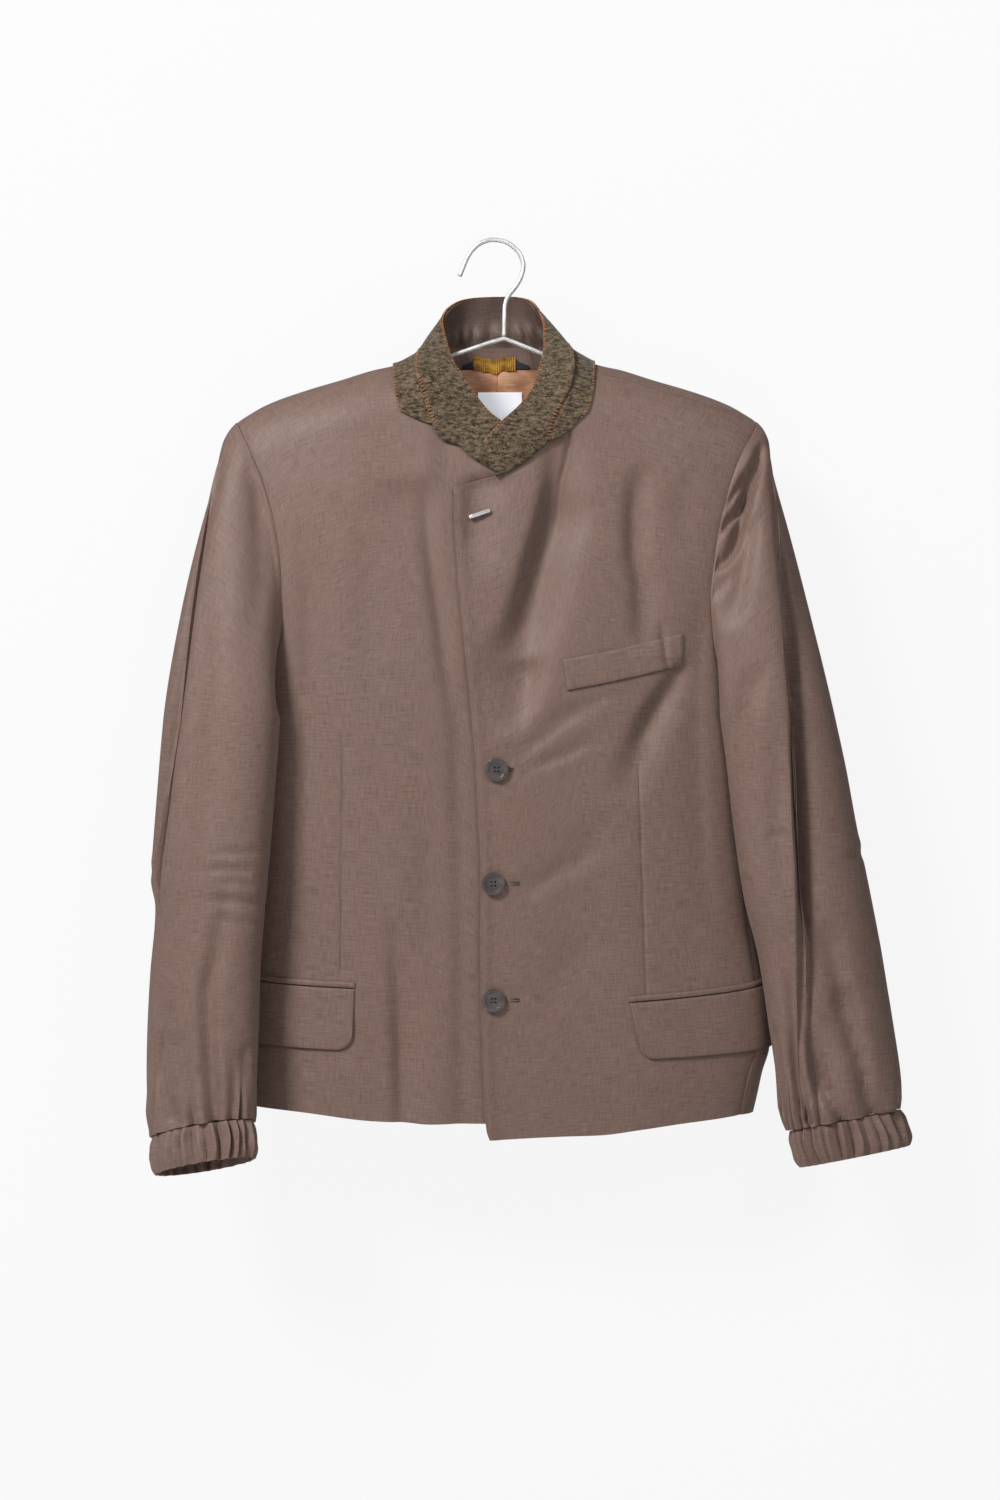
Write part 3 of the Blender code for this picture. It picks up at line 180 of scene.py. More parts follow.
def unit(vectors, least=1e-12):
    """Vectors scaled to length 1."""
    return vectors / np.maximum(np.linalg.norm(vectors, axis=-1, keepdims=True), least)


def run_of(line):
    """Length run up to each point of a line."""
    return np.concatenate([[0], np.cumsum(np.linalg.norm(np.diff(line, axis=0), axis=1))])


def column(table, value, x):
    """Column number value of a table, read at x of its first column."""
    return curve([row[0] for row in table], [row[value] for row in table], x)


def along(points, count, bunch=1.0):
    """count + 1 points along a line of points, smoothly. bunch > 1 crowds them to the start."""
    points = np.asarray(points, float)
    length = run_of(points)
    at = np.linspace(0, 1, count + 1) ** bunch * length[-1]
    return np.stack([curve(length, points[:, i], at) for i in range(points.shape[1])], axis=1)


def ease(x):
    """Smooth step from 0 to 1."""
    x = np.clip(x, 0, 1)
    return x * x * (3 - 2 * x)


def half_width(x, level):
    return np.where(x < CENTRE, CENTRE - column(BODY, 1, level), column(BODY, 2, level) - CENTRE)


def ridge_level(x):
    return column(RIDGE, 1, np.abs(x - CENTRE))


def turn_of(x, level):
    """Signed angle from the middle (front or back) at which the body reaches x."""
    share = np.clip(np.abs(x - CENTRE) / half_width(x, level), 0, 1)
    turn = np.degrees(np.arcsin(share ** (POWER / 2)))
    return np.where(x < CENTRE, -turn, turn)


def x_of(turn, level):
    side = np.where(turn < 0, -1.0, 1.0)
    share = np.abs(np.sin(np.radians(turn))) ** (2 / POWER)
    return CENTRE + side * share * half_width(CENTRE + side, level)


def roll_of(drop):
    """Share of the full depth reached at a drop below the ridge."""
    drop = np.clip(drop, 0, ROLL)
    return np.sqrt(np.clip(1 - (1 - drop / ROLL) ** 2, 0, 1))


def path_of(drop):
    """Length along the cloth for a drop below the ridge."""
    drop = np.maximum(drop, 0)
    rolled = ROLL * np.arccos(np.clip(1 - drop / ROLL, 0, 1))
    return np.where(drop < ROLL, rolled, ROLL * math.pi / 2 + drop - ROLL)


def drop_of(path):
    path = np.abs(path)
    rolled = ROLL * (1 - np.cos(np.clip(path / ROLL, 0, math.pi / 2)))
    return np.where(path < ROLL * math.pi / 2, rolled, path - ROLL * math.pi / 2 + ROLL)


def depth_at(path, level):
    return np.where(path > 0, -column(BODY, 3, level), column(BODY, 4, level))


def torso_point(turn, path):
    """Point at a signed turn from the middle and a path from the ridge, minus down the back."""
    side = np.where(turn < 0, -1.0, 1.0)
    drop = drop_of(path)
    level = ridge_level(CENTRE + side * 200) - drop
    for _ in range(8):
        x = x_of(turn, level)
        level = ridge_level(x) - drop
    deep = np.abs(np.cos(np.radians(turn))) ** (2 / POWER)
    y = depth_at(path, level) * deep * roll_of(drop)
    return np.stack([x, y, level], axis=-1)


def ridge_point(x, path):
    """The same surface read at x and a path from the ridge."""
    level = ridge_level(x) - drop_of(path)
    share = np.clip(np.abs(x - CENTRE) / half_width(x, level), 0, 1)
    deep = (1 - share**POWER) ** (1 / POWER)
    y = depth_at(path, level) * deep * roll_of(drop_of(path))
    return np.stack([x + 0 * y, y, level + 0 * y], axis=-1)


def side_point(side):
    """The side of the body: turn runs 0 front, 90 side, 180 back."""
    def at(turn, level):
        x = x_of(side * turn, level)
        deep = np.abs(np.cos(np.radians(turn))) ** (2 / POWER)
        depth = np.where(turn < 90, -column(BODY, 3, level), column(BODY, 4, level))
        ridge = ridge_level(x)
        y = depth * deep * roll_of(ridge - level)
        return np.stack([x, y, np.minimum(level, ridge)], axis=-1)
    return at


def fold_depth(folds, x, level):
    """How far the folds in a table push the cloth in at a place of a front."""
    total = 0 * x
    for top_x, top, low_x, low, depth, half in folds:
        dx = low_x - top_x
        dz = low - top
        share = ((x - top_x) * dx + (level - top) * dz) / (dx * dx + dz * dz)
        held = np.clip(share, 0, 1)
        away = np.hypot(x - top_x - held * dx, level - top - held * dz)
        total = total + depth * np.exp(-((away / half) ** 2))
    return total


# Valleys of the fronts, each followed down the cloth: level, x, depth, how wide to its left,
# to its right. The light side of a valley is short and steep, the dark side long and soft.
LAPEL_ROLL = (
    (-176, 60, 1.5, 14, 14), (-190, 58, 5.0, 14, 18), (-228, 53.5, 13.0, 10, 22), (-255, 49, 19.0, 10, 26),
    (-297, 36.5, 19.0, 10, 26), (-341, 29, 17.0, 15, 24), (-372, 25, 12.0, 26, 20), (-410, 20, 5.0, 34, 18),
    (-440, 12, 0, 26, 16),
)
ROLL_TAIL = ((-374, 36, 0, 18, 10), (-388, 31.6, 4.0, 20, 11), (-420, 24, 3.4, 20, 12), (-446, 14, 0, 18, 12))
COLLAR_CREASE = (
    (-180, 68, 0.6, 4, 3), (-190, 67, 2.4, 4, 3), (-222, 60, 2.0, 4, 3), (-246, 57, 1.3, 4, 3),
    (-272, 54, 0, 4, 3),
)
CHEST_VALLEY = (
    (-200, 131, 0, 12, 10), (-222, 127, 3.4, 10, 12), (-250, 124, 5.0, 9, 14), (-280, 124, 5.0, 9, 15),
    (-310, 129, 4.4, 9, 14), (-346, 131, 3.6, 10, 14), (-372, 140, 0, 14, 12),
)
WELT_CREASE = ((-340, 147, 0, 4, 3), (-356, 149, 2.2, 4, 2.6), (-374, 151, 2.0, 4, 2.6), (-386, 153, 0, 4, 3))
UNDER_WELT = (
    (-372, 166, 0, 12, 5), (-388, 160, 4.4, 9, 10), (-428, 137, 7.0, 10, 16), (-462, 126, 4.4, 14, 16),
    (-500, 116, 0, 20, 16),
)
DRAGS = (
    ((-212, -12, 0, 9, 20), (-224, -13, 4.6, 11, 22), (-262, -16, 4.4, 11, 22), (-305, -8, 0, 12, 22)),
    ((-400, 112, 0, 16, 16), (-424, 70, 2.0, 22, 10), (-452, 34, 1.8, 20, 8), (-470, 16, 0, 12, 8)),
    ((-436, 104, 0, 18, 14), (-462, 56, 1.6, 20, 10), (-480, 20, 0, 12, 8)),
    ((-505, 96, 0, 18, 18), (-540, 84, 1.8, 18, 22), (-572, 40, 1.4, 20, 14), (-590, 20, 0, 14, 10)),
    ((-600, 92, 0, 18, 18), (-650, 62, 1.2, 20, 20), (-700, 40, 0, 20, 20)),
    ((-310, 184, 0, 10, 8), (-400, 178, 1.8, 14, 8), (-520, 182, 1.6, 16, 8), (-620, 192, 0, 12, 8)),
    ((-200, 176, 0, 12, 12), (-240, 168, 1.2, 12, 12), (-290, 166, 0, 12, 12)),
)
VALLEYS_LEFT_FRONT = (ROLL_TAIL, COLLAR_CREASE, CHEST_VALLEY, WELT_CREASE, UNDER_WELT) + DRAGS
VALLEYS_RIGHT_FRONT = (
    ((-214, -76, 0, 20, 24), (-236, -72, 2.6, 30, 26), (-262, -70, 1.6, 30, 22), (-300, -66, 0, 24, 20)),
    ((-215, -58, 0, 9, 16), (-255, -56, 3.4, 9, 18), (-340, -44, 4.6, 9, 18), (-393, -36, 4.0, 10, 18),
     (-445, -24, 3.0, 12, 16), (-520, -20, 0, 12, 16)),
    ((-240, -112, 0, 12, 12), (-330, -108, 1.4, 14, 18), (-430, -104, 0, 14, 14)),
    ((-250, -168, 0, 8, 14), (-330, -160, 2.0, 10, 20), (-460, -166, 1.6, 10, 18), (-600, -176, 0, 8, 14)),
    ((-480, -60, 0, 14, 18), (-560, -56, 1.6, 14, 24), (-690, -62, 1.2, 16, 20), (-780, -58, 0.6, 16, 20)),
    ((-420, -34, 0, 10, 12), (-520, -26, 2.6, 11, 14), (-680, -24, 2.6, 11, 14), (-790, -24, 2.4, 12, 14)),
    ((-590, -86, 0, 9, 14), (-640, -83, 2.6, 9, 15), (-725, -80, 5.0, 8, 15), (-790, -79, 3.4, 8, 15)),
    ((-690, -104, 0, 12, 14), (-740, -100, 1.4, 12, 16), (-790, -98, 1.0, 12, 14)),
)


# How strongly the valleys of the left front, of the right front and of the sleeves, and
# the lesser folds of the sleeves, are drawn
LEFT_GAIN = 1.4
RIGHT_GAIN = 1.5
SLEEVE_GAIN = 2.2
FOLD_GAIN = 1.3


def valley(table, x, level):
    """Depth of one valley that runs down the cloth, at x and level."""
    centre = column(table, 1, level)
    wide = np.where(x < centre, column(table, 3, level), column(table, 4, level))
    within = (np.asarray(level) <= table[0][0]) & (np.asarray(level) >= table[-1][0])
    return column(table, 2, level) * np.exp(-(((x - centre) / wide) ** 2)) * within


# Sewn darts: x and level at the top, x and level at the bottom
DART_LEFT = (127.3, -469.9, 134.2, -664.7)
DART_RIGHT = (-130.3, -449.9, -132.9, -650.8)


def dart_dip(dart, x, level):
    """The narrow groove of a sewn dart, with the cloth drawn in beside it."""
    return fold_depth([(*dart, 1.1, 1.15), (*dart, 0.6, 7)], x, level)


def ripple(x, level):
    """The cloth is never dead flat: broad, faint swells over a front."""
    broad = np.sin(x / 31 + level / 83) * np.sin(level / 57 - x / 120)
    return 0.7 * broad + 0.3 * np.sin(x / 13 + level / 140)


def front_shift(x, level, panel):
    """How far a front lies behind the plain form. panel is left or right, as worn."""
    left = LEFT_GAIN * sum(valley(table, x, level) for table in VALLEYS_LEFT_FRONT)
    left = valley(LAPEL_ROLL, x, level) + left
    if panel == "left":
        away = x - column(FRONT_EDGE, 1, level)
        lip = 0.35 * np.exp(-(((away - 2.3) / 0.9) ** 2)) - 1.2 * np.exp(-((away / 9) ** 4))
        return left + dart_dip(DART_LEFT, x, level) + ripple(x, level) + lip * ease((-216 - level) / 12)
    under = ease((x - column(FRONT_EDGE, 1, level) + 26) / 22)
    right = RIGHT_GAIN * sum(valley(table, x, level) for table in VALLEYS_RIGHT_FRONT)
    right = right + dart_dip(DART_RIGHT, x, level) + ripple(x + 40, level + 9)
    return under * (UNDERLAP + 0.6 + left) + (1 - under) * right


def front_at(panel):
    """Surface of a front, read at a signed turn and a path."""
    def at(turn, path):
        point = torso_point(turn, path)
        point[..., 1] += front_shift(point[..., 0], point[..., 2], panel)
        return point
    return at


def place(x, level):
    """Signed turn and path on the front for x and level."""
    x = np.asarray(x, float)
    level = np.asarray(level, float)
    return turn_of(x, level), path_of(ridge_level(x) - level)


def normals(surface, first, second, sign=-1.0):
    """Unit normals of a surface at its two coordinates."""
    across = surface(first + 0.25, second) - surface(first - 0.25, second)
    down = surface(first, second + 0.5) - surface(first, second - 0.5)
    return unit(sign * np.cross(across, down))


def armhole(nodes, side):
    """Turn and level of armhole nodes (29 is node 1 again) on one side."""
    nodes = np.asarray(nodes, float)
    nodes = np.where(nodes >= NODES, nodes - NODES, nodes)
    turn = column(ARMHOLE, 1 if side < 0 else 3, nodes)
    level = column(ARMHOLE, 2 if side < 0 else 4, nodes)
    return turn, level


def coons(low, high, first, last, hold=1.0):
    """Fill a grid between four edges. Rows run low to high, columns first to last.
    hold > 1 keeps the wander of the first and last edges near those edges."""
    v = np.linspace(0, 1, len(first))[:, None, None]
    u = np.linspace(0, 1, len(low))[None, :, None]
    wander_first = first[:, None] - (1 - v) * first[0] - v * first[-1]
    wander_last = last[:, None] - (1 - v) * last[0] - v * last[-1]
    return (1 - v) * low[None] + v * high[None] + (1 - u) ** hold * wander_first + u**hold * wander_last


def draw_back(grid, edges, amount=SEAM):
    """Draw the named edges of a grid back into it. amount can be one number a node."""
    drawn = grid.copy()
    amount = np.reshape(amount, (-1, 1))
    places = {
        "low": (np.s_[0, :], np.s_[1, :]),
        "high": (np.s_[-1, :], np.s_[-2, :]),
        "first": (np.s_[:, 0], np.s_[:, 1]),
        "last": (np.s_[:, -1], np.s_[:, -2]),
    }
    for edge in edges:
        rim, inner = places[edge]
        drawn[rim] = drawn[rim] + amount * unit(grid[inner] - grid[rim], 1e-9)
    return drawn


def crowded(count, tight=1.0):
    """Shares from 0 to 1, closer together at both ends when tight is over 1."""
    v = np.linspace(-1, 1, count + 1)
    return (1 + np.sign(v) * (1 - (1 - np.abs(v)) ** tight)) / 2


def weave_uv(grid, ring):
    """Lengths along the columns and rows of a grid, in metres, for the weave to follow."""
    closed = np.concatenate([grid, grid[:, :1]], axis=1) if ring else grid
    across = np.linalg.norm(np.diff(closed, axis=1), axis=2).mean(axis=0)
    down = np.linalg.norm(np.diff(closed, axis=0), axis=2).mean(axis=1)
    u = np.concatenate([[0], np.cumsum(across)]) * MM
    v = np.concatenate([[0], np.cumsum(down)]) * MM
    return u, v


def quads(rows, cols, last):
    """Point numbers of the faces of a grid; columns wrap round where last is cols."""
    j, i = np.meshgrid(np.arange(rows - 1), np.arange(last), indexing="ij")
    n = (i + 1) % cols
    return i, j, np.stack([j * cols + i, j * cols + n, (j + 1) * cols + n, (j + 1) * cols + i], axis=-1)


def cloth_shell(name, grid, normal, wall, material, lift=0.0, ring=False):
    """A sheet of cloth with its real thickness: outer face on the grid, inner face one wall in."""
    outer = grid + normal * lift
    inner = outer - normal * wall
    rows, cols = grid.shape[:2]
    points = np.concatenate([outer.reshape(-1, 3), inner.reshape(-1, 3)]) * MM
    half = rows * cols
    last = cols if ring else cols - 1
    u, v = weave_uv(grid, ring)
    i, j, quad = quads(rows, cols, last)
    quad = quad.reshape(-1, 4)
    turns = ((0, 0), (1, 0), (1, 1), (0, 1))
    corner = np.stack([np.stack([u[i + di], v[j + dj]], axis=-1) for di, dj in turns], axis=-2)
    corner = corner.reshape(-1, 4, 2)
    faces = [quad, (quad + half)[:, ::-1]]
    maps = [corner, corner[:, ::-1]]
    rims = []
    i = np.arange(last)
    n = (i + 1) % cols
    top = (rows - 1) * cols
    rims.append(np.stack([half + i, half + n, n, i], axis=-1))
    rims.append(np.stack([top + i, top + n, half + top + n, half + top + i], axis=-1))
    if not ring:
        a = np.arange(rows - 1) * cols
        b = a + cols
        rims.append(np.stack([a, b, half + b, half + a], axis=-1))
        rims.append(np.stack([half + a + cols - 1, half + b + cols - 1, b + cols - 1, a + cols - 1], axis=-1))
    for rim in rims:
        faces.append(rim)
        maps.append(np.tile(np.array([[0, 0], [0.002, 0], [0.002, 0.001], [0, 0.001]]), (len(rim), 1, 1)))
    faces = np.concatenate(faces)
    maps = np.concatenate(maps)
    mesh = bpy.data.meshes.new(name)
    mesh.from_pydata(points.tolist(), [], faces.tolist())
    layer = mesh.uv_layers.new(name="weave")
    layer.data.foreach_set("uv", maps.reshape(-1).astype(np.float32))
    mesh.validate()
    outward(mesh)
    made = linked(name, mesh)
    mesh.materials.append(material)
    mesh.shade_smooth()
    bpy.context.view_layer.objects.active = made
    made.select_set(True)
    bpy.ops.object.shade_smooth_by_angle(angle=math.radians(50))
    made.select_set(False)
    return made


def outward(mesh, weld=0.0):
    """Turns a mesh's faces outward, after welding points that are nearer than weld."""
    bm = bmesh.new()
    bm.from_mesh(mesh)
    if weld:
        bmesh.ops.remove_doubles(bm, verts=bm.verts, dist=weld)
    bmesh.ops.recalc_face_normals(bm, faces=bm.faces)
    bm.to_mesh(mesh)
    bm.free()


def linked(name, data):
    """A new object in the scene."""
    made = bpy.data.objects.new(name, data)
    bpy.context.scene.collection.objects.link(made)
    return made


def tied(made, node):
    """Ties a piece to the root and hides the CAD part of its node."""
    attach(made, "root")
    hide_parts(node)
    return made


def painted(name):
    """A new material and a function that adds nodes to it or fills those that it has."""
    material = bpy.data.materials.new(name)
    material.use_nodes = True
    tree = material.node_tree

    def add(kind, sockets=None, **settings):
        node = tree.nodes[kind] if " " in kind else tree.nodes.new("ShaderNode" + kind)
        for setting, value in settings.items():
            setattr(node, setting, value)
        for socket, value in (sockets or {}).items():
            if isinstance(value, bpy.types.NodeSocket):
                tree.links.new(value, node.inputs[socket])
            else:
                node.inputs[socket].default_value = value
        return node

    return material, add


def stretched(add, at, scale, detail, rough=0.5, turn=(0, 0, 0), shift=(0, 0, 0)):
    """Noise drawn out along its axes."""
    spread = add("Mapping", {"Vector": at, "Location": shift, "Rotation": turn, "Scale": scale})
    noise = {"Vector": spread.outputs["Vector"], "Scale": 1.0, "Detail": detail, "Roughness": rough}
    return add("TexNoise", noise).outputs["Fac"]


def ramp(add, source, low, high, dark, light):
    """Colour that runs from dark to light as the source goes from low to high."""
    node = add("ValToRGB", {"Fac": source})
    for stop, position, colour in zip(node.color_ramp.elements, (low, high), (dark, light)):
        stop.position = position
        stop.color = colour
    return node.outputs["Color"]


def mixed(add, factor, first, second, kind="MIX"):
    return add("Mix", {0: factor, 6: first, 7: second}, data_type="RGBA", blend_type=kind).outputs[2]


def bump(add, height, strength, distance):
    return add("Bump", {"Height": height, "Strength": strength, "Distance": distance}).outputs["Normal"]


def maths(add, operation, first, second, **settings):
    return add("Math", {0: first, 1: second}, operation=operation, **settings).outputs[0]


def worsted(name, seed=0.0, shade=1.0):
    """Fine plain-woven brown worsted: threads, slubs, soft sheen and faint reddish cast. A shade under 1
    darkens its colour: painted shade.
    """
    material, add = painted(name)
    weave = add("UVMap", uv_map="weave").outputs["UV"]
    warp, weft, cloud = (
        stretched(add, weave, scale, detail, 0.6, shift=(place_at + seed, (place_at + seed) * 0.7, 0))
        for scale, detail, place_at in (((1100, 70, 1), 3, 3.1), ((60, 1000, 1), 3, 7.7), ((7, 7, 1), 4, 1.3))
    )
    threads = maths(add, "MULTIPLY", maths(add, "ADD", warp, weft), 0.5)
    # shade scales the yarn colours down: painted shade for cloth that lies in shadow.
    dark, light = ([part * shade for part in tone[:3]] + [1] for tone in (CLOTH_DARK, CLOTH_LIGHT))
    yarn = ramp(add, threads, 0.34, 0.66, dark, light)
    add("Principled BSDF", {
        "Base Color": mixed(add, 1.0, yarn, mixed(add, cloud, CLOTH_COOL, CLOTH_WARM), "MULTIPLY"),
        "Roughness": 0.55,
        "Sheen Weight": 0.16,
        "Sheen Roughness": 0.4,
        "Sheen Tint": (0.85, 0.84, 0.9, 1),
        "Specular IOR Level": 0.3,
        "Normal": bump(add, threads, 0.35, 0.0005),
    })
    return material


CLOTH_DARK = (0.122, 0.076, 0.060, 1)
CLOTH_LIGHT = (0.226, 0.152, 0.124, 1)
CLOTH_COOL = (0.96, 0.97, 1.0, 1)
CLOTH_WARM = (1.06, 0.99, 0.95, 1)
body_cloth = worsted("worsted_body")
SEAM_STEPS = 96       # rows below the armhole
ARM_STEPS = 76        # rows beside it

# The sleeves are set into the armholes, so their form is read first: the wall of a panel
# turns with the sleeve's wall where the two are sewn together.
# Sleeve sections. Level, x and y of the middle, half length, half width, turn of the
# long axis (outer end to the back), roll in the picture, pitch (front edge up)
SLEEVE_LEFT = (
    (-430, -239.5, -38, 60, 37, 33, 0, 0),
    (-490, -244.5, -41, 61, 37, 34, 0, 0),
    (-545, -248.8, -43, 62, 37, 35, 0, 0),
    (-568, -250.3, -44, 62, 36, 35, 0, 1),
    (-592, -248.9, -46, 57, 35, 34, 1, 2),
    (-646, -252.0, -49, 55, 34, 31, 2, 5),
    (-690, -253.2, -52, 55, 33, 29, 3, 8),
    (-735, -253.8, -55, 54, 31, 27, 5, 12),
    (-765, -253.2, -58, 52, 29, 26, 6, 15),
    (-784, -252.2, -60, 48, 26, 25, 7, 17),
)
SLEEVE_RIGHT = (
    (-430, 251, -26, 55, 43, 20, 0, 0),
    (-475, 259.5, -26, 56, 43, 20, 2, 0),
    (-527, 267.6, -27, 57, 42, 20, 4, 1),
    (-577, 276.4, -27, 58, 41, 20, 6, 2),
    (-631, 288.5, -26, 56, 38, 18, 8, 3),
    (-679, 296, -25, 56, 36, 16, 9, 4),
    (-720, 302, -25, 56, 34, 14, 10, 6),
    (-755, 307.5, -25, 55, 32, 12, 11, 7),
    (-771, 310, -25, 53, 29, 12, 11, 8),
    (-781, 311, -25, 50, 26, 12, 11, 8),
)
# Angle round a sleeve section for each armhole node, just under the arm and at the
# cuff. The twist between them throws the long fold down the front of the sleeve.
SECTION_LEFT = (
    (-15, -122, -128), (-12, -106, -118), (-8, -62, -84), (-5, -25, -48), (-3, 4, -18),
    (-2, 24, -2), (-1, 45, 14), (0, 66, 30), (1, 74, 38), (4, 118, 92), (7, 158, 146),
    (10, 196, 190), (13, 238, 232),
)
SECTION_RIGHT = (
    (-15, -135, -135), (-12, -112, -110), (-8, -62, -45), (-5, -18, 10), (-3, 18, 52),
    (-2, 40, 80), (-1, 64, 104), (0, 90, 128), (1, 98, 139), (4, 130, 160), (7, 160, 185),
    (10, 188, 207), (13, 225, 225),
)
CAP_SWING = 0.4       # how strongly the sleeve head leaves the armhole sideways
TOP_SLEEVE = (-6, 10)     # nodes, back seam to front seam over the crown
UNDER_SLEEVE = (10, 22)
BODY_GAP = 5.5        # sleeve to body
FLAP_GAP = 9.5        # sleeve to body over the pocket flaps
CAP_ROWS = 56
LOWER_ROWS = 128
RING = 168            # columns round a sleeve
# The long rolled fold: level, depth for the left sleeve, for the right sleeve
SLEEVE_FOLD = (
    (-178, 0, 0), (-196, 2.5, 3), (-235, 6, 10), (-300, 8.5, 15), (-430, 9.5, 17), (-560, 9, 16),
    (-600, 6, 15), (-650, 2, 13), (-700, 0.6, 9), (-745, 0, 3), (-770, 0, 0),
)
FOLD_SHARE = (
    (-4, 0), (-3, 0.03), (-2, 0.16), (-1, 0.5), (-0.3, 0.93), (0.15, 1), (0.5, 0.82), (0.78, 0.2), (1, -0.04),
    (1.5, -0.07), (2.5, -0.03), (3.5, 0),
)
# Lesser folds: picture side, top node, top level, bottom node, bottom level, depth, nodes wide
SLEEVE_FOLDS = (
    # left in the picture: hollows above the cuff, elbow wrinkles, long soft ridge
    (-1, 3, -690, 3, -782, 3.4, 0.9),
    (-1, 1.4, -700, 1.2, -780, 2.6, 0.6),
    (-1, 4.4, -480, 4.4, -740, -1.5, 1.3),
    (-1, 2.6, -300, 2.2, -560, -1.0, 1.1),
    (-1, 5.8, -230, 5.4, -420, 1.0, 1.0),
    (-1, 8, -700, 8, -782, 2.2, 0.7),
    # right in the picture: folds from the sleeve head, above the cuff
    (1, -1.5, -655, 0, -765, 4.0, 0.8),
    (1, 5.0, -330, 5.8, -560, 1.2, 1.2),
    (1, 3.0, -640, 2.4, -775, 3.0, 0.8),
    (1, 6.2, -690, 5.6, -778, 2.6, 0.7),
    (1, 8.4, -700, 8.2, -778, 2.0, 0.6),
)
# Valleys on the front of each sleeve, as on the fronts: level, x, depth, width left, right
SLEEVE_VALLEYS = {
    1: (
        ((-192, 243.5, 0, 2.2, 5), (-247, 248.2, 2.4, 2.0, 7), (-306, 252.8, 3.6, 2.0, 8),
         (-372, 258.3, 4.2, 2.0, 9),
         (-497, 261.6, 4.4, 2.0, 9), (-558, 265, 4.2, 2.0, 9), (-627, 267, 3.8, 2.0, 8),
         (-700, 268.4, 2.4, 2.2, 7), (-736, 269, 0, 2.4, 6)),
        ((-182, 237.5, 0, 5, 4), (-190, 236, 3.0, 5, 4), (-211, 231.3, 5.6, 5, 4), (-238, 222.9, 6.4, 6, 4),
         (-257, 217.6, 6.0, 7, 4), (-280, 211, 5.0, 8, 4), (-292, 202, 3.4, 8, 5), (-298, 192, 0, 8, 6)),
        ((-198, 229, 0, 4, 3.5), (-210, 226, 3.0, 5, 3.5), (-240, 218, 4.2, 6, 3.5), (-258, 204.5, 3.0, 7, 4),
         (-266, 196, 0, 7, 4)),
        ((-208, 223, 0, 4, 3), (-221, 218, 2.6, 5, 3.5), (-240, 203, 2.4, 6, 4), (-247, 197, 0, 6, 4)),
        ((-246, 229, 0, 9, 6), (-270, 224, 3.2, 11, 7), (-324, 213.5, 3.0, 12, 8), (-350, 206, 0, 10, 8)),
        ((-296, 208, 0, 6, 5), (-312, 200, 1.6, 7, 5), (-326, 192, 0, 7, 5)),
        ((-376, 233, 0, 10, 7), (-400, 227, 2.0, 12, 8), (-452, 212, 1.8, 12, 8), (-490, 208, 0, 10, 8)),
        ((-430, 245, 0, 10, 8), (-520, 248, 1.8, 12, 8), (-600, 258, 0, 12, 8)),
        ((-600, 290, 0, 9, 6), (-627, 296.6, 3.4, 11, 7), (-700, 315, 5.0, 12, 7), (-746, 326, 4.0, 9, 6),
         (-780, 331, 1.0, 6, 5)),
        ((-640, 268, 0, 9, 6), (-700, 277, 2.6, 10, 6), (-745, 289, 4.2, 8, 5), (-780, 305, 2.0, 5, 4)),
        ((-690, 262, 0, 6, 4), (-735, 268, 2.6, 7, 4), (-781, 277, 2.0, 5, 4)),
    ),
    -1: (
        ((-190, -234, 0, 8, 1.8), (-199, -237.3, 1.6, 8, 1.8), (-239, -245.8, 3.2, 9, 1.8),
         (-273, -253.6, 4.0, 10, 1.8), (-394, -269, 4.8, 11, 1.8), (-429, -273.3, 4.8, 11, 1.8),
         (-473, -279.4, 4.6, 11, 1.8), (-514, -283.7, 4.2, 10, 1.8),
         (-558, -288.8, 3.4, 9, 1.8), (-586, -291.6, 2.0, 8, 2), (-610, -293, 0, 8, 2)),
        ((-200, -214, 0, 6, 8), (-240, -206, 2.2, 8, 9), (-300, -204, 1.4, 10, 10), (-360, -208, 0, 8, 9)),
        ((-300, -246, 0, 8, 10), (-400, -252, 1.8, 10, 12), (-520, -262, 1.6, 10, 12),
         (-600, -266, 0, 8, 10)),
        ((-560, -226, 0, 8, 8), (-620, -236, 1.8, 9, 9), (-667, -244, 3.4, 9, 7), (-753, -240, 3.8, 8, 6),
         (-784, -238, 1.5, 6, 5)),
        ((-650, -284, 0, 7, 8), (-706, -283, 3.4, 7, 9), (-735, -287, 3.2, 6, 8), (-776, -275, 2.4, 5, 6),
         (-786, -273, 0, 5, 5)),
        ((-690, -262, 0, 5, 5), (-740, -262, 2.0, 6, 5), (-786, -258, 1.6, 4, 4)),
        ((-710, -222, 0, 5, 5), (-750, -222, 2.2, 5, 4), (-786, -226, 1.4, 4, 4)),
    ),
}
# Short wrinkles across a sleeve: picture side, first node, last node, level, rise, depth, half height
ACROSS = (
    (-1, 4.4, 8.6, -543, 4, 1.2, 3.6),
    (-1, 4.0, 8.0, -558, 2, 1.5, 3.8),
    (-1, 4.8, 9.0, -570, 0, 1.1, 3.2),
    (-1, 4.0, 9.2, -585, -3, 1.6, 4.0),
    (-1, 4.6, 8.6, -603, -5, 1.1, 4.2),
    (1, 1.4, 4.4, -529, 2, 1.0, 3.5),
    (1, 6.0, 9.4, -568, 3, 1.1, 3.5),
    (1, 6.6, 9.6, -552, 4, 0.7, 3.2),
    (1, -5.0, -1.0, -548, -3, 1.2, 5.0),
    (-1, -5.0, -1.0, -560, -3, 1.2, 5.0),
)
# Puckers that fan up from the elastic cuffs: number round the sleeve, height, depth
PUCKERS = (21, 40.0, 4.2)


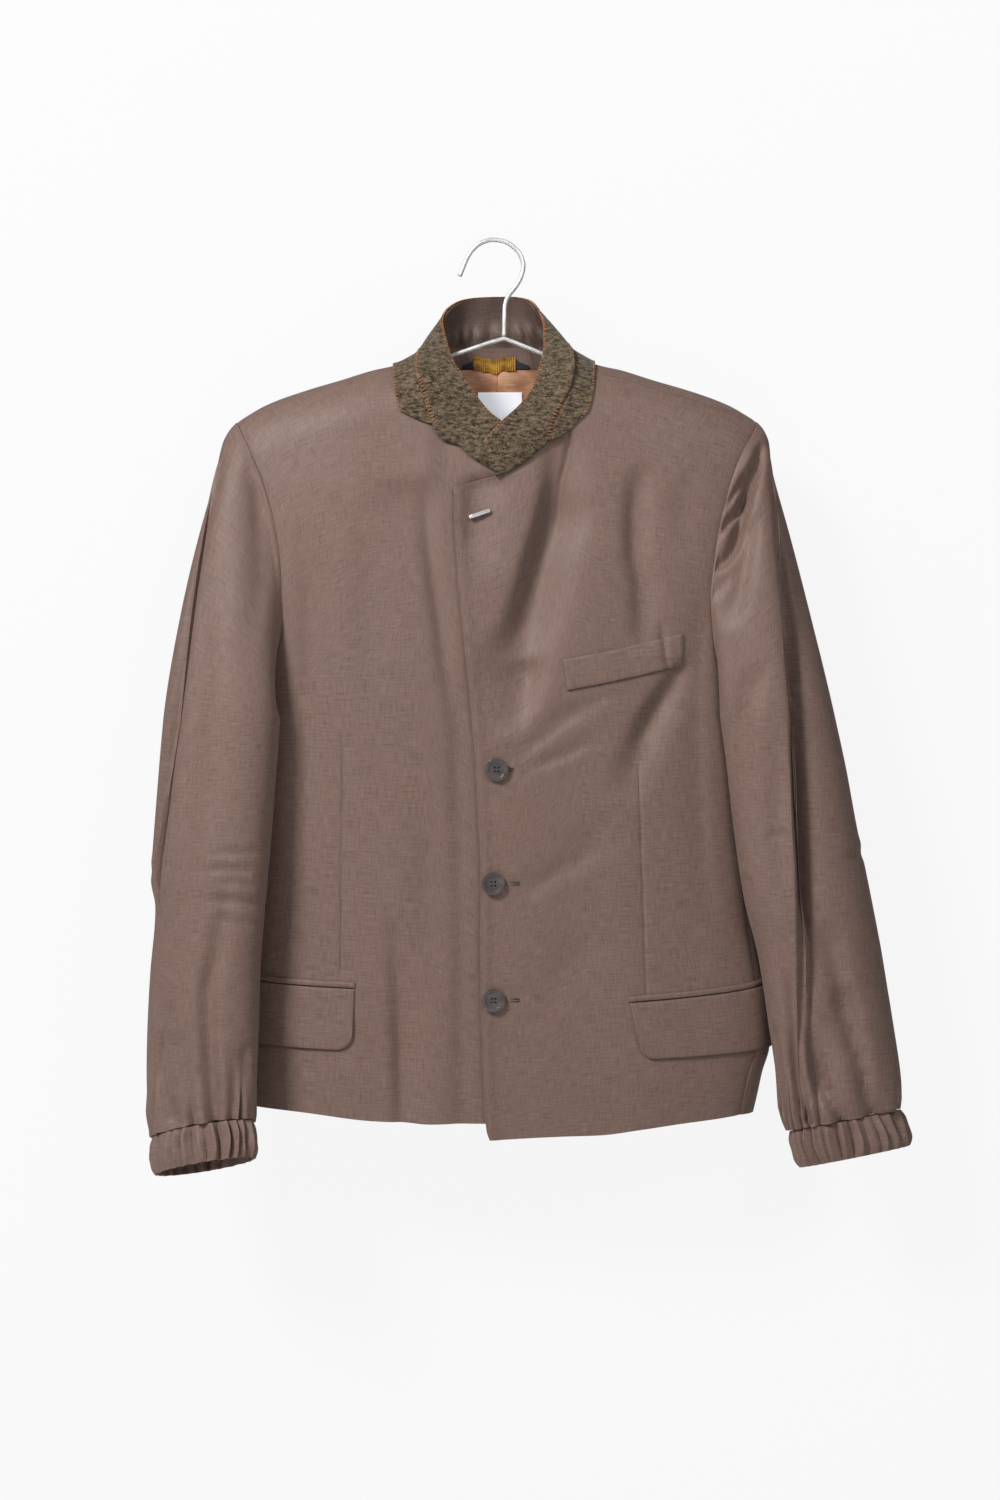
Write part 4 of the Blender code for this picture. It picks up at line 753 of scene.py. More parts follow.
def sleeve_pull(side, nodes, level):
    """How far the folds pull a sleeve in at nodes and levels."""
    depth = column(SLEEVE_FOLD, 1 if side < 0 else 2, level)
    total = depth * column(FOLD_SHARE, 1, nodes)
    for where, node_top, top, node_low, low, deep, wide in SLEEVE_FOLDS:
        if where != side:
            continue
        share = (level - top) / (low - top)
        fade = ease(share / 0.25) * ease((1.02 - share) / 0.12)
        if low > -560:
            fade = ease(share / 0.12) * ease((1.05 - share) / 0.5)
        centre = node_top + (node_low - node_top) * np.clip(share, 0, 1)
        total = total + FOLD_GAIN * deep * fade * np.exp(-(((nodes - centre) / wide) ** 2))
    for where, first, final, at, rise, deep, half in ACROSS:
        if where != side:
            continue
        share = (nodes - first) / (final - first)
        fade = ease(share / 0.3) * ease((1 - share) / 0.3)
        height = at + rise * (share - 0.5) + 1.5 * np.sin(share * 5)
        below = (level - height) / half
        total = total + deep * fade * (np.exp(-(below**2)) - 0.5 * np.exp(-((below - 2) ** 2)))
    count, high, deep = PUCKERS
    low = (SLEEVE_LEFT if side < 0 else SLEEVE_RIGHT)[-1][0]
    fade = np.clip((low + high * (1 + 0.35 * np.sin(nodes * 1.9 + side)) - level) / high, 0, 1) ** 1.6
    wave = 0.9 - 1.9 * np.abs(np.sin(nodes * np.pi * count / NODES + 0.7 * np.sin(nodes * 0.9)))
    total = total + deep * fade * wave
    return total + 0.35 * np.sin(level / 41 + nodes * 0.7) * np.sin(nodes * 0.45 + level / 77)


def section_point(table, level, turn, side):
    """Points of a sleeve section at a level of its table and an angle round it."""
    turn = np.radians(turn)
    x, y, half_long, half_wide, lean, roll, pitch = [column(table, k, level) for k in range(1, 8)]
    lean = np.radians(lean)
    a = half_long * np.cos(turn)
    b = half_wide * np.sin(turn)
    dx = side * (a * np.cos(lean) + b * np.sin(lean))
    dy = a * np.sin(lean) - b * np.cos(lean)
    dz = np.tan(np.radians(roll)) * dx - np.tan(np.radians(pitch)) * dy
    return np.stack([x + dx, y + dy, level + dz], axis=-1)


def node_turn(nodes, level, side):
    """Angle round the section for the node lines at a level."""
    table = SECTION_LEFT if side < 0 else SECTION_RIGHT
    share = np.clip((-430 - level) / 350, 0, 1)
    return column(table, 1, nodes) * (1 - share) + column(table, 2, nodes) * share


def clear_of_body(points, gap):
    """Move points that are inside the body, or nearer than gap, out to its surface."""
    x = points[..., 0] - CENTRE
    y = points[..., 1]
    level = points[..., 2]
    wide = half_width(points[..., 0], level) + gap
    deep = np.where(y < 0, column(BODY, 3, level), column(BODY, 4, level)) + gap
    reach = ((np.abs(x) / wide) ** POWER + (np.abs(y) / deep) ** POWER) ** (1 / POWER)
    push = np.where(reach < 1, 1 / np.maximum(reach, 0.2), 1.0)
    moved = points.copy()
    moved[..., 0] = CENTRE + x * push
    moved[..., 1] = y * push
    return moved


def grid_normals(grid, sign, ring=False):
    """Unit normals of a grid that has no formula."""
    if ring:
        across = np.roll(grid, -1, axis=1) - np.roll(grid, 1, axis=1)
    else:
        across = np.gradient(grid, axis=1)
    return unit(sign * np.cross(across, np.gradient(grid, axis=0)), 1e-9)


def sleeve_form(side):
    """Whole sleeve as a ring grid (rows armhole to cuff) and its normals."""
    table = SLEEVE_LEFT if side < 0 else SLEEVE_RIGHT
    ring = np.arange(RING) * NODES / RING
    nodes = np.where(ring > 13, ring - NODES, ring)
    arm_turn, arm_level = armhole(ring, side)
    start = side_point(side)(arm_turn, arm_level)
    top = float(table[0][0])
    turn = node_turn(nodes, top, side)
    end = section_point(table, np.full(RING, top), turn, side)
    reach = np.linalg.norm(end - start, axis=1)[:, None]
    crown = ease((start[:, 2:3] + 400) / 240)
    leave = np.concatenate([side * (0.3 + 0.55 * crown), start[:, 1:2] / 90, -0.6 + 0 * crown], axis=1)
    leave = unit(leave) * reach * CAP_SWING
    below = section_point(table, np.full(RING, top - 20.0), turn, side)
    arrive = (below - end) / 20.0 * reach * 0.9
    rows = []
    centres = []
    for v in crowded(CAP_ROWS, 1.15):
        h = (2 * v**3 - 3 * v**2 + 1, v**3 - 2 * v**2 + v, 3 * v**2 - 2 * v**3, v**3 - v**2)
        rows.append(h[0] * start + h[1] * leave + h[2] * end + h[3] * arrive)
        centres.append((start * (1 - v) + end * v).mean(axis=0))
    for level in np.linspace(top, table[-1][0], LOWER_ROWS + 1)[1:]:
        turn = node_turn(nodes, level, side)
        rows.append(section_point(table, np.full(RING, level), turn, side))
        centres.append(rows[-1].mean(axis=0))
    grid = np.stack(rows)
    inward = np.stack(centres)[:, None] - grid
    inward[..., 2] = 0
    inward = unit(inward, 1e-6)
    pull = sleeve_pull(side, nodes[None] + 0 * grid[..., 2], grid[..., 2])
    pull = pull * ease((start[None, :, 2] - grid[..., 2]) / 8)
    pull[0] = 0
    grid = grid + inward * pull[..., None]
    front = ease(-1.4 * grid_normals(grid, side, ring=True)[..., 1])
    front = front * ease((start[None, :, 2] - grid[..., 2]) / 6)
    deep = SLEEVE_GAIN * sum(valley(table, grid[..., 0], grid[..., 2]) for table in SLEEVE_VALLEYS[side])
    grid[..., 1] += deep * front
    level = grid[..., 2]
    gap = BODY_GAP + (FLAP_GAP - BODY_GAP) * ease((-625 - level) / 20)
    moved = clear_of_body(grid, gap)
    limit = np.minimum(arm_level, -360)[None]
    share = ease((limit - level) / 5) * ease((level + 790) / 20)
    grid = grid + (moved - grid) * share[..., None]
    return grid, grid_normals(grid, side, ring=True)


def arm_walls(side, nodes):
    """Wall directions at armhole nodes, for the body and for the sleeve: one shared mitre,
    but each its own normal where the sleeve doubles back under the arm."""
    ring = np.append(np.arange(RING) * NODES / RING, NODES)
    sleeve = SLEEVE_WALLS[side]
    sleeve = np.concatenate([sleeve, sleeve[:1]])
    at = np.mod(nodes, NODES)
    normal = unit(np.stack([np.interp(at, ring, sleeve[:, k]) for k in range(3)], axis=1))
    turn, level = armhole(nodes, side)
    near_side = np.abs(turn - 90) < 16
    body = normals(side_point(side), turn, level, side)
    x = x_of(side * turn, level)
    face = np.where(turn < 90, 1.0, -1.0)
    middle = np.where(turn < 90, turn, 180 - turn)
    path = face * np.maximum(path_of(ridge_level(x) - level), 0.6)
    torso = normals(torso_point, side * middle, path)
    body = np.where(near_side[:, None], body, torso)
    dot = np.sum(body * normal, axis=1, keepdims=True)
    mitre = (body + normal) / np.maximum(1 + dot, 0.45)
    open_share = ease((dot + 0.3) / 0.6)
    return mitre * open_share + body * (1 - open_share), mitre * open_share + normal * (1 - open_share)


SLEEVES = {}
SLEEVE_WALLS = {}
for side in (-1, 1):
    SLEEVES[side] = sleeve_form(side)
    SLEEVE_WALLS[side] = SLEEVES[side][1][0].copy()


def seam_line(side, which, steps):
    """Turn and level up one side seam from the hem. which is 1 front seam, 2 back seam."""
    node = SIDE_ARM[0] if which == 1 else SIDE_ARM[1]
    turn_top, level_top = armhole([node], side)
    share = np.linspace(0, 1, steps + 1)
    turn = column(SIDE_SEAM, which, share)
    turn = turn + (turn_top[0] - turn[-1]) * ease((share - 0.9) / 0.1)
    ends = ((HEM_RIGHT_FRONT[-1], HEM_LEFT_FRONT[-1]), (HEM_BACK[0], HEM_BACK[-1]))
    hem = ends[which - 1][side > 0][1]
    return turn, hem + (level_top[0] - hem) * share


def pressed_seam(points, normal, edges, depth=0.5, reach=2.2):
    """Presses a panel in a little along its sewn edges."""
    lines = {"low": np.s_[:1], "high": np.s_[-1:], "first": np.s_[:, :1], "last": np.s_[:, -1:]}
    pressed = points.copy()
    for edge in edges:
        away = np.linalg.norm(points - points[lines[edge]], axis=-1)
        pressed = pressed - normal * (depth * np.exp(-((away / reach) ** 2)))[..., None]
    return pressed


def front_panel(panel, side, shoulder_columns, neck_columns=72):
    """Grid and normals of a front, rows hem to shoulder, columns front edge to side."""
    turn, level = seam_line(side, 1, SEAM_STEPS)
    arm = FRONT_ARM[1] + (FRONT_ARM[0] - FRONT_ARM[1]) * np.linspace(0, 1, ARM_STEPS + 1)
    arm_turn, arm_level = armhole(arm[1:], side)
    turn = np.concatenate([turn, arm_turn])
    level = np.concatenate([level, arm_level])
    last = np.stack([side * turn, path_of(ridge_level(x_of(side * turn, level)) - level)], axis=1)
    rows = len(turn) - 1
    hem_table = HEM_LEFT_FRONT if panel == "left" else HEM_RIGHT_FRONT
    if panel == "left":
        edge_level = np.linspace(hem_table[0][1], FRONT_EDGE[0][0], rows + 1)
        edge_x = column(FRONT_EDGE, 1, edge_level)
        neck = [(FRONT_EDGE[0][1], FRONT_EDGE[0][0]), (-15, -219.6)] + list(NECK_LEFT_FRONT)
        shoulder = SHOULDER_RIGHT
    else:
        edge_level = np.linspace(hem_table[0][1], -214.5, rows + 1)
        edge_x = column(FRONT_EDGE, 1, edge_level) + LAP_WIDTH
        neck = [(edge_x[-1], edge_level[-1])] + list(NECK_RIGHT_FRONT)
        shoulder = SHOULDER_LEFT
    neck.append((shoulder[0][0], float(ridge_level(shoulder[0][0]) - drop_of(shoulder[0][1]))))
    neck = np.asarray(neck, float)
    neck[:-1, 0] += side * NECK_EASE * ease((neck[:-1, 1] + 176) / 10)
    neck = along(neck, neck_columns)
    seam = along(shoulder, shoulder_columns, BUNCH)
    seam_level = ridge_level(seam[:, 0]) - drop_of(seam[:, 1])
    hem = along(hem_table, neck_columns + shoulder_columns)
    low = np.stack(place(hem[:, 0], hem[:, 1]), axis=1)
    first = np.stack(place(edge_x, edge_level), axis=1)
    high = np.stack(place(neck[:, 0], neck[:, 1]), axis=1)
    high = np.concatenate([high, np.stack([turn_of(seam[:, 0], seam_level), seam[:, 1]], axis=1)[1:]])
    low[[0, -1]] = first[0], last[0]
    high[[0, -1]] = first[-1], last[-1]
    grid = coons(low, high, first, last, HOLD)
    surface = front_at(panel)
    points = surface(grid[..., 0], grid[..., 1])
    normal = normals(surface, grid[..., 0], grid[..., 1])
    normal[SEAM_STEPS:, -1] = arm_walls(side, arm)[0]
    points = pressed_seam(points, normal, ("last",))
    covered = np.full(len(high), SEAM)
    covered[20:neck_columns + 1] = np.where(neck[20:, 1] > -170, UNDER_FELT, SEAM)
    return draw_back(draw_back(points, ("last",)), ("high",), covered), normal


for panel, side in (("left", 1), ("right", -1)):
    grid, normal = front_panel(panel, side, 128)
    made = cloth_shell("front_%s_cloth" % panel, grid, normal, WALL, body_cloth)
    tied(made, "front_" + panel)


def side_panel(side, columns=24):
    """Grid and normals of a side panel, rows hem to armhole, columns front to back."""
    first = np.stack(seam_line(side, 1, SEAM_STEPS), axis=1)
    last = np.stack(seam_line(side, 2, SEAM_STEPS), axis=1)
    nodes = np.linspace(SIDE_ARM[0], SIDE_ARM[1], columns + 1)
    high = np.stack(armhole(nodes, side), axis=1)
    low = np.linspace(first[0], last[0], columns + 1)
    grid = coons(low, high, first, last)
    surface = side_point(side)
    points = surface(grid[..., 0], grid[..., 1])
    normal = normals(surface, grid[..., 0], grid[..., 1], side)
    turn = grid[..., 0]
    level = points[..., 2]
    swell = 0.5 * np.sin(level / 60 + turn / 14) + 0.3 * np.sin(level / 23 - turn / 9)
    swell = swell * ease((level + 790) / 30) * ease((-410 - level) / 30)
    points = points - normal * swell[..., None]
    points = pressed_seam(points, normal, ("first", "last"))
    normal[-1] = arm_walls(side, nodes)[0]
    return draw_back(points, ("high", "first", "last")), normal


for side, hand in ((1, "left"), (-1, "right")):
    grid, normal = side_panel(side)
    made = cloth_shell("side_%s_cloth" % hand, grid, normal, WALL, body_cloth)
    tied(made, "side_" + hand)


# The back hangs smooth from the shoulder blades: a few long soft folds and a little drag
# towards the armholes, nothing more.
FOLDS_BACK = (
    (-150, -300, -160, -600, 1.6, 20),
    (-60, -420, -70, -760, 1.2, 26),
    (40, -380, 46, -760, -1.4, 30),
    (120, -320, 150, -640, 1.5, 22),
    (190, -380, 180, -700, -1.0, 16),
    (-195, -420, -190, -700, -1.0, 16),
    (-110, -210, -160, -300, 0.9, 14),
    (116, -210, 164, -300, 0.9, 14),
)


def back_at(turn, path):
    point = torso_point(turn, path)
    behind = ease(-path / 60)
    x = point[..., 0]
    level = point[..., 2]
    point[..., 1] -= behind * (fold_depth(FOLDS_BACK, x, level) + ripple(x + 70, level))
    return point


def back_edge(side):
    """Side seam and armhole of the back, hem first, as signed turn and path."""
    turn, level = seam_line(side, 2, SEAM_STEPS)
    arm = np.linspace(BACK_ARM[0], BACK_ARM[1], ARM_STEPS + 1)
    arm_turn, arm_level = armhole(arm[1:], side)
    face = np.where(np.concatenate([turn, arm_turn]) > 90, -1.0, 1.0)
    turn = np.concatenate([turn, arm_turn])
    level = np.concatenate([level, arm_level])
    path = face * path_of(ridge_level(x_of(side * turn, level)) - level)
    return np.stack([side * np.where(turn > 90, 180 - turn, turn), path], axis=1), arm


def back_panel(shoulder_columns, neck_columns):
    """Grid and normals of the back, rows hem to neck, columns left to right in the picture."""
    first, arm = back_edge(-1)
    last, arm = back_edge(1)
    hem = along(HEM_BACK, 2 * shoulder_columns + neck_columns)
    turn, path = place(hem[:, 0], hem[:, 1])
    low = np.stack([turn, -path], axis=1)
    left = along(SHOULDER_LEFT, shoulder_columns, BUNCH)[::-1]
    right = along(SHOULDER_RIGHT, shoulder_columns, BUNCH)
    neck = along(NECK_BACK, neck_columns)
    top = np.concatenate([left, neck[1:-1], right])
    level = ridge_level(top[:, 0]) - drop_of(top[:, 1])
    high = np.stack([turn_of(top[:, 0], level), top[:, 1]], axis=1)
    low[[0, -1]] = first[0], last[0]
    high[[0, -1]] = first[-1], last[-1]
    grid = coons(low, high, first, last, HOLD)
    points = back_at(grid[..., 0], grid[..., 1])
    normal = normals(back_at, grid[..., 0], grid[..., 1])
    normal[SEAM_STEPS:, 0] = arm_walls(-1, arm)[0]
    normal[SEAM_STEPS:, -1] = arm_walls(1, arm)[0]
    points = pressed_seam(points, normal, ("first", "last"))
    covered = np.full(high.shape[0], SEAM)
    covered[shoulder_columns:-shoulder_columns] = UNDER_FELT
    return draw_back(draw_back(points, ("first", "last")), ("high",), covered), normal


grid, normal = back_panel(52, 60)
made = cloth_shell("back_cloth", grid, normal, WALL, body_cloth)
tied(made, "back")


# ================================================================ sleeves
# Two-piece set-in sleeves of the same cloth, sewn top to under sleeve along two hidden
# seams. They hang empty, so each is half flat and rolls over in one long sharp fold.
sleeve_cloth = worsted("worsted_sleeves", 2.3)
for side, hand in ((-1, "right"), (1, "left")):
    form, normal = SLEEVES[side]
    normal[0] = arm_walls(side, np.arange(RING) * NODES / RING)[1]
    for kind, span in (("top_sleeve_", TOP_SLEEVE), ("under_sleeve_", UNDER_SLEEVE)):
        step = RING // NODES
        pick = np.mod(np.arange(span[0] * step, span[1] * step + 1), RING)
        points = pressed_seam(form[:, pick], normal[:, pick], ("first", "last"), 0.4)
        points = draw_back(points, ("low", "high", "first", "last"))
        made = cloth_shell(kind + hand + "_cloth", points, normal[:, pick], WALL, sleeve_cloth)
        tied(made, kind + hand)


# ================================================================ cuffs
# Bomber cuffs: a folded band of the same cloth over elastic, so it is drawn into uneven
# gathers all round, pinched at the seam and again at the bottom fold.
CUFF_LEFT = (
    (-784.6, -252.2, -60, 48, 26, 25, 7, 17),
    (-792, -251.5, -61.5, 49, 27, 25, 7, 17),
    (-808, -249.9, -65.5, 49.5, 27.5, 25, 7, 17),
    (-815.5, -249.3, -67, 48, 26, 25, 7, 17),
)
CUFF_RIGHT = (
    (-781.6, 311, -25, 50, 26, 12, 11, 8),
    (-789, 313, -25.6, 51, 27, 12, 11, 8),
    (-805.5, 317.4, -27.5, 51.5, 27.5, 12, 11, 8),
    (-813, 319, -28.4, 50, 26, 12, 11, 8),
)
CUFF_DEPTH = ((0.0, 1.6), (0.08, 2.4), (0.25, 3.2), (0.5, 3.5), (0.75, 3.2), (0.92, 2.6), (1.0, 1.6))


def cuff(side, columns=624, rows=26):
    """Grid and normals of a gathered cuff: rings with their own height of gathers."""
    table = CUFF_LEFT if side < 0 else CUFF_RIGHT
    turn = np.arange(columns) * 360 / columns
    rad = np.radians(turn)
    wave = 26 * rad + 0.9 * np.sin(2 * rad + side) + 0.8 * np.sin(5 * rad) + 0.4 * np.sin(9 * rad + 2)
    uneven = 1 + 0.3 * np.sin(3 * rad + 0.7) + 0.3 * np.sin(7 * rad + 2 * side) + 0.2 * np.sin(13 * rad)
    grid = []
    for share in np.linspace(0, 1, rows + 1):
        level = table[0][0] + (table[-1][0] - table[0][0]) * share
        ring = section_point(table, np.full(columns, float(level)), turn, side)
        way = unit(ring - ring.mean(axis=0))
        lean = wave + 0.5 * np.sin(share * 4 + 4 * rad)
        gather = 2.1 * np.abs(np.sin(lean / 2)) ** 0.8 - 1.5 + 0.2 * np.sin(2 * lean + 1)
        crush = 0.4 * np.sin(9 * rad + share * 9) * np.sin(share * np.pi)
        puff = 0.5 * np.sin(share * np.pi)
        swell = gather * column(CUFF_DEPTH, 1, share) * uneven + crush + puff - 0.6
        grid.append(ring + way * swell[:, None])
    grid = np.stack(grid)
    return grid, grid_normals(grid, side, ring=True)


for side, hand in ((-1, "right"), (1, "left")):
    grid, normal = cuff(side)
    made = cloth_shell("cuff_%s_cloth" % hand, grid, normal, 1.2, sleeve_cloth, ring=True)
    tied(made, "cuff_" + hand)


# ================================================================ collar
# The collar is turned up: its under side of mottled olive wool felt shows. A standing band
# rises from the neck seam, and a flat band lies on the shoulders outside the roll line.
FELT = 1.5            # wall of the felt
# Standing collar: base on the neck seam is found from the same tables; this gives the
# opening edge. Station share along the neck seam, x, y, level
COLLAR_TOP = (
    (0.00, 20, -45.5, -178),
    (0.045, 8, -47, -167),
    (0.09, -2.4, -45, -158.8),
    (0.14, -14.7, -41, -143.1),
    (0.20, -27.1, -36, -124.2),
    (0.25, -36.1, -28, -108.6),
    (0.29, -41, -15, -91),
    (0.335, -44.8, 4, -70.5),
    (0.375, -41, 18, -58),
    (0.42, -28, 30, -47),
    (0.47, -12, 36, -43.4),
    (0.51, 2, 37.5, -42.6),
    (0.55, 15, 36, -42.8),
    (0.60, 29, 31, -45.5),
    (0.645, 39.5, 20, -57),
    (0.685, 45.4, 3, -76),
    (0.725, 45.5, -13, -96),
    (0.765, 41, -28, -116.6),
    (0.805, 35.6, -39, -136),
    (0.85, 23, -47, -153.2),
    (0.91, 8, -53, -167.2),
    (1.00, -8.5, -57, -185.9),
)
COLLAR_BOW = 2.0      # the band is bowed outwards by this
# Flat felt round the neck: share along the neck seam, outer x, outer path
FELT_OUTER = (
    (0.145, -81, 77),
    (0.175, -83.5, 68),
    (0.22, -85.5, 57),
    (0.265, -87, 42),
    (0.31, -88, 22),
    (0.345, -88.5, 2),
    (0.38, -82, -34),
    (0.42, -64, -66),
    (0.46, -34, -92),
    (0.51, 3, -100),
    (0.56, 38, -92),
    (0.6, 66, -66),
    (0.64, 84, -34),
    (0.67, 90, 4),
    (0.71, 89.5, 28),
    (0.76, 88.5, 50),
    (0.81, 86.5, 66),
    (0.85, 83.5, 79),
    (0.893, 77, 90),
)
COLLAR_STATIONS = 200
COLLAR_ROWS = 22


def wool_felt(name):
    """Pressed wool felt: olive ground with pale and dark fibres lying in all directions."""
    material, add = painted(name)
    at = add("TexCoord").outputs["Object"]
    mottle = stretched(add, at, (170, 330, 430), 6, 0.75, (0.3, 0.2, 0.5))
    fibres = stretched(add, at, (1500, 300, 480), 3, 0.75, (0.1, 0.4, 0.75))
    cross = stretched(add, at, (300, 460, 1500), 3, 0.75, (0.6, 0.1, -0.6))
    colour = ramp(add, mottle, 0.41, 0.63, (0.022, 0.014, 0.007, 1), (0.190, 0.140, 0.090, 1))
    for strands, low, high, tone in (
        (fibres, 0.58, 0.74, (0.36, 0.27, 0.19, 1)),
        (cross, 0.57, 0.72, (0.028, 0.022, 0.014, 1)),
    ):
        colour = mixed(add, ramp(add, strands, low, high, (0, 0, 0, 1), (1, 1, 1, 1)), colour, tone)
    add("Principled BSDF", {
        "Base Color": colour,
        "Roughness": 0.95,
        "Sheen Weight": 0.15,
        "Specular IOR Level": 0.15,
        "Normal": bump(add, mottle, 0.5, 0.0008),
    })
    return material


def neck_seam(share):
    """Points and outward normals along the neck seam: right front, over the back, left front."""
    right = np.asarray(NECK_RIGHT_FRONT, float)
    left = np.asarray(NECK_LEFT_FRONT, float)[::-1]
    over = np.asarray(NECK_BACK, float)[1:-1]
    x = np.concatenate([right[:, 0], over[:, 0], left[:, 0]])
    path = np.concatenate([place(right[:, 0], right[:, 1])[1], over[:, 1], place(left[:, 0], left[:, 1])[1]])
    line = ridge_point(x, path)
    length = run_of(line)
    at = np.asarray(share) * length[-1]
    x = curve(length, x, at)
    path = curve(length, path, at)
    points = ridge_point(x, path)
    low_front = path > 20
    right, left = (front_shift(x, points[:, 2], panel) for panel in ("right", "left"))
    shift = np.where(at < length[-1] / 2, right, left)
    points[:, 1] += np.where(low_front, shift, 0)
    return points, normals(ridge_point, x, path), x, path


def collar_grid(stations, rows, first=0.0, last=1.0, low=0.0, high=1.0):
    """Standing band: rows from the neck seam to the opening edge, and its normals."""
    share = np.linspace(first, last, stations + 1)
    base, outward, _, _ = neck_seam(share)
    end = 1 - ease((1 - share) / 0.1)
    base = base + outward * (FELT + 0.9 - 0.3 * end)[:, None]
    base[:, 2] -= 0.8 * end
    top = np.stack([column(COLLAR_TOP, k, share) for k in (1, 2, 3)], axis=1)
    out = (base + top) / 2 - np.array([1.0, -8.0, 0.0])
    out[:, 2] = 0
    out = unit(out, 1e-6)
    grid = []
    rise = unit(top - base) * (0.15 + 0.85 * ease((share - 0.2) / 0.1) * ease((0.86 - share) / 0.1))[:, None]
    for v in np.linspace(low, high, rows + 1):
        bow = COLLAR_BOW * math.sin(math.pi * max(v, 0)) * (1 + 0.25 * np.sin(share * 23))[:, None]
        grid.append(base + (top - base) * max(v, 0) + rise * min(v, 0) * 50 + out * (bow + min(v, 0) * 14))
    grid = np.stack(grid)
    return grid, grid_normals(grid, -1)


felt = wool_felt("olive_felt")
grid, normal = collar_grid(COLLAR_STATIONS, COLLAR_ROWS + 2, low=-2 / COLLAR_ROWS)
grid = grid + normal * FELT
stand_grid, stand_normal = grid, normal
made = cloth_shell("collar_stand_felt", grid, normal, FELT, felt)
tied(made, "collar_stand")


# The facing inside the standing band is brown cloth, with short gathers over its lower half
# where it is eased onto the neck. Its colour is darkened to 0.62: painted shade for the
# shadow inside the collar.
def facing_grid():
    share_low, share_high = 3 / 40, 37 / 40
    grid, normal = collar_grid(COLLAR_STATIONS - 20, 34, share_low, share_high, -0.10, 0.985)
    v = np.linspace(0, 1, grid.shape[0])[:, None]
    u = np.linspace(0, 1, grid.shape[1])[None, :]
    behind = np.exp(-(((u - 0.52) / 0.17) ** 2))
    crest = np.abs(np.sin(u * 95 + 1.4 * np.sin(u * 31)))
    gather = 1.6 * crest * np.exp(-(((v - 0.34) / 0.18) ** 2)) * behind - 0.6
    soft = 0.5 * np.sin(u * 46 + 3 * v) * behind
    return grid - normal * (0.35 + 3.4 * (1 + gather) * behind + soft * 0.5)[..., None], normal


grid, normal = facing_grid()
# Painted shade: the facing's cloth is darkened for the shadow that falls inside the collar.
made = cloth_shell("collar_facing_cloth", grid, normal, 0.8, worsted("worsted_facing_painted_shade", 5.1, 0.62))
tied(made, "collar_facing")


def flat_felt(stations, rows):
    """Flat felt round the neck, rows from the neck seam outwards, and its normals."""
    share = np.linspace(FELT_OUTER[0][0], FELT_OUTER[-1][0], stations + 1)
    _, _, inner_x, inner_path = neck_seam(share)
    outer_x = column(FELT_OUTER, 1, share)
    outer_path = column(FELT_OUTER, 2, share)
    v = np.linspace(0.03, 1, rows + 1)[:, None]
    x = inner_x + (outer_x - inner_x) * v
    path = inner_path + (outer_path - inner_path) * v
    return ridge_point(x, path), normals(ridge_point, x, path)


grid, normal = flat_felt(200, 16)
neck_grid, neck_normal = grid, normal
NECK_LIFT = LIE + FELT + 0.2
made = cloth_shell("collar_neck_felt", grid, normal, FELT, felt, lift=NECK_LIFT)
tied(made, "collar_neck")


# ================================================================ inside the neck
# Back neck facing, copper lining with a centre seam, a ribbed mustard hanging loop with
# navy tape ends, and a bare white label: all seen through the collar's opening.


def inside_patch(left, right, top, bottom, columns, rows):
    """Patch on the back between two x and two levels, and its normals."""
    x = np.linspace(left, right, columns + 1)[None, :] + np.zeros((rows + 1, 1))
    level = np.linspace(bottom, top, rows + 1)[:, None] + 0 * x
    path = -path_of(np.maximum(ridge_level(x) - level, 0.5))
    return ridge_point(x, path), normals(ridge_point, x, path)


INSET = WALL + 1.2            # how far the lining lies inside the back's outer face
NEXT = INSET + 1.0 + 0.35     # the label and the loop lie on the lining


def satin(name, low, high, rough, sheen, streak):
    """Smooth woven lining or tape: fine diagonal lines, cloudy tone and a soft gloss."""
    material, add = painted(name)
    weave = add("UVMap", uv_map="weave").outputs["UV"]
    lines = stretched(add, weave, streak, 3.0, turn=(0, 0, 0.8))
    cloud = add("TexNoise", {"Vector": weave, "Scale": 55.0, "Detail": 2.0}).outputs["Fac"]
    tone = maths(add, "MULTIPLY", maths(add, "ADD", lines, cloud), 0.88)
    add("Principled BSDF", {
        "Base Color": ramp(add, tone, 0.75, 1.0, (*low, 1), (*high, 1)),
        "Roughness": rough,
        "Sheen Weight": sheen,
        "Normal": bump(add, lines, 0.2, 0.0003),
    })
    return material


copper = satin("copper_lining", (0.46, 0.20, 0.105), (0.74, 0.40, 0.235), 0.36, 0.2, (60, 1500, 1))
mustard = satin("mustard_ribbon", (0.24, 0.105, 0.004), (0.55, 0.29, 0.018), 0.55, 0.2, (900, 2200, 1))
navy = satin("navy_tape", (0.010, 0.012, 0.020), (0.028, 0.031, 0.045), 0.7, 0.1, (900, 2200, 1))
white = satin("label_white", (0.90, 0.91, 0.98), (0.97, 0.98, 1.0), 0.5, 0.1, (300, 2600, 1))
# The label's faint glow is painted light, standing in for the light that falls on it inside the neck.
label_painted_glow = white.node_tree.nodes["Principled BSDF"]
label_painted_glow.inputs["Emission Color"].default_value = (0.88, 0.91, 1.0, 1)
label_painted_glow.inputs["Emission Strength"].default_value = 0.3

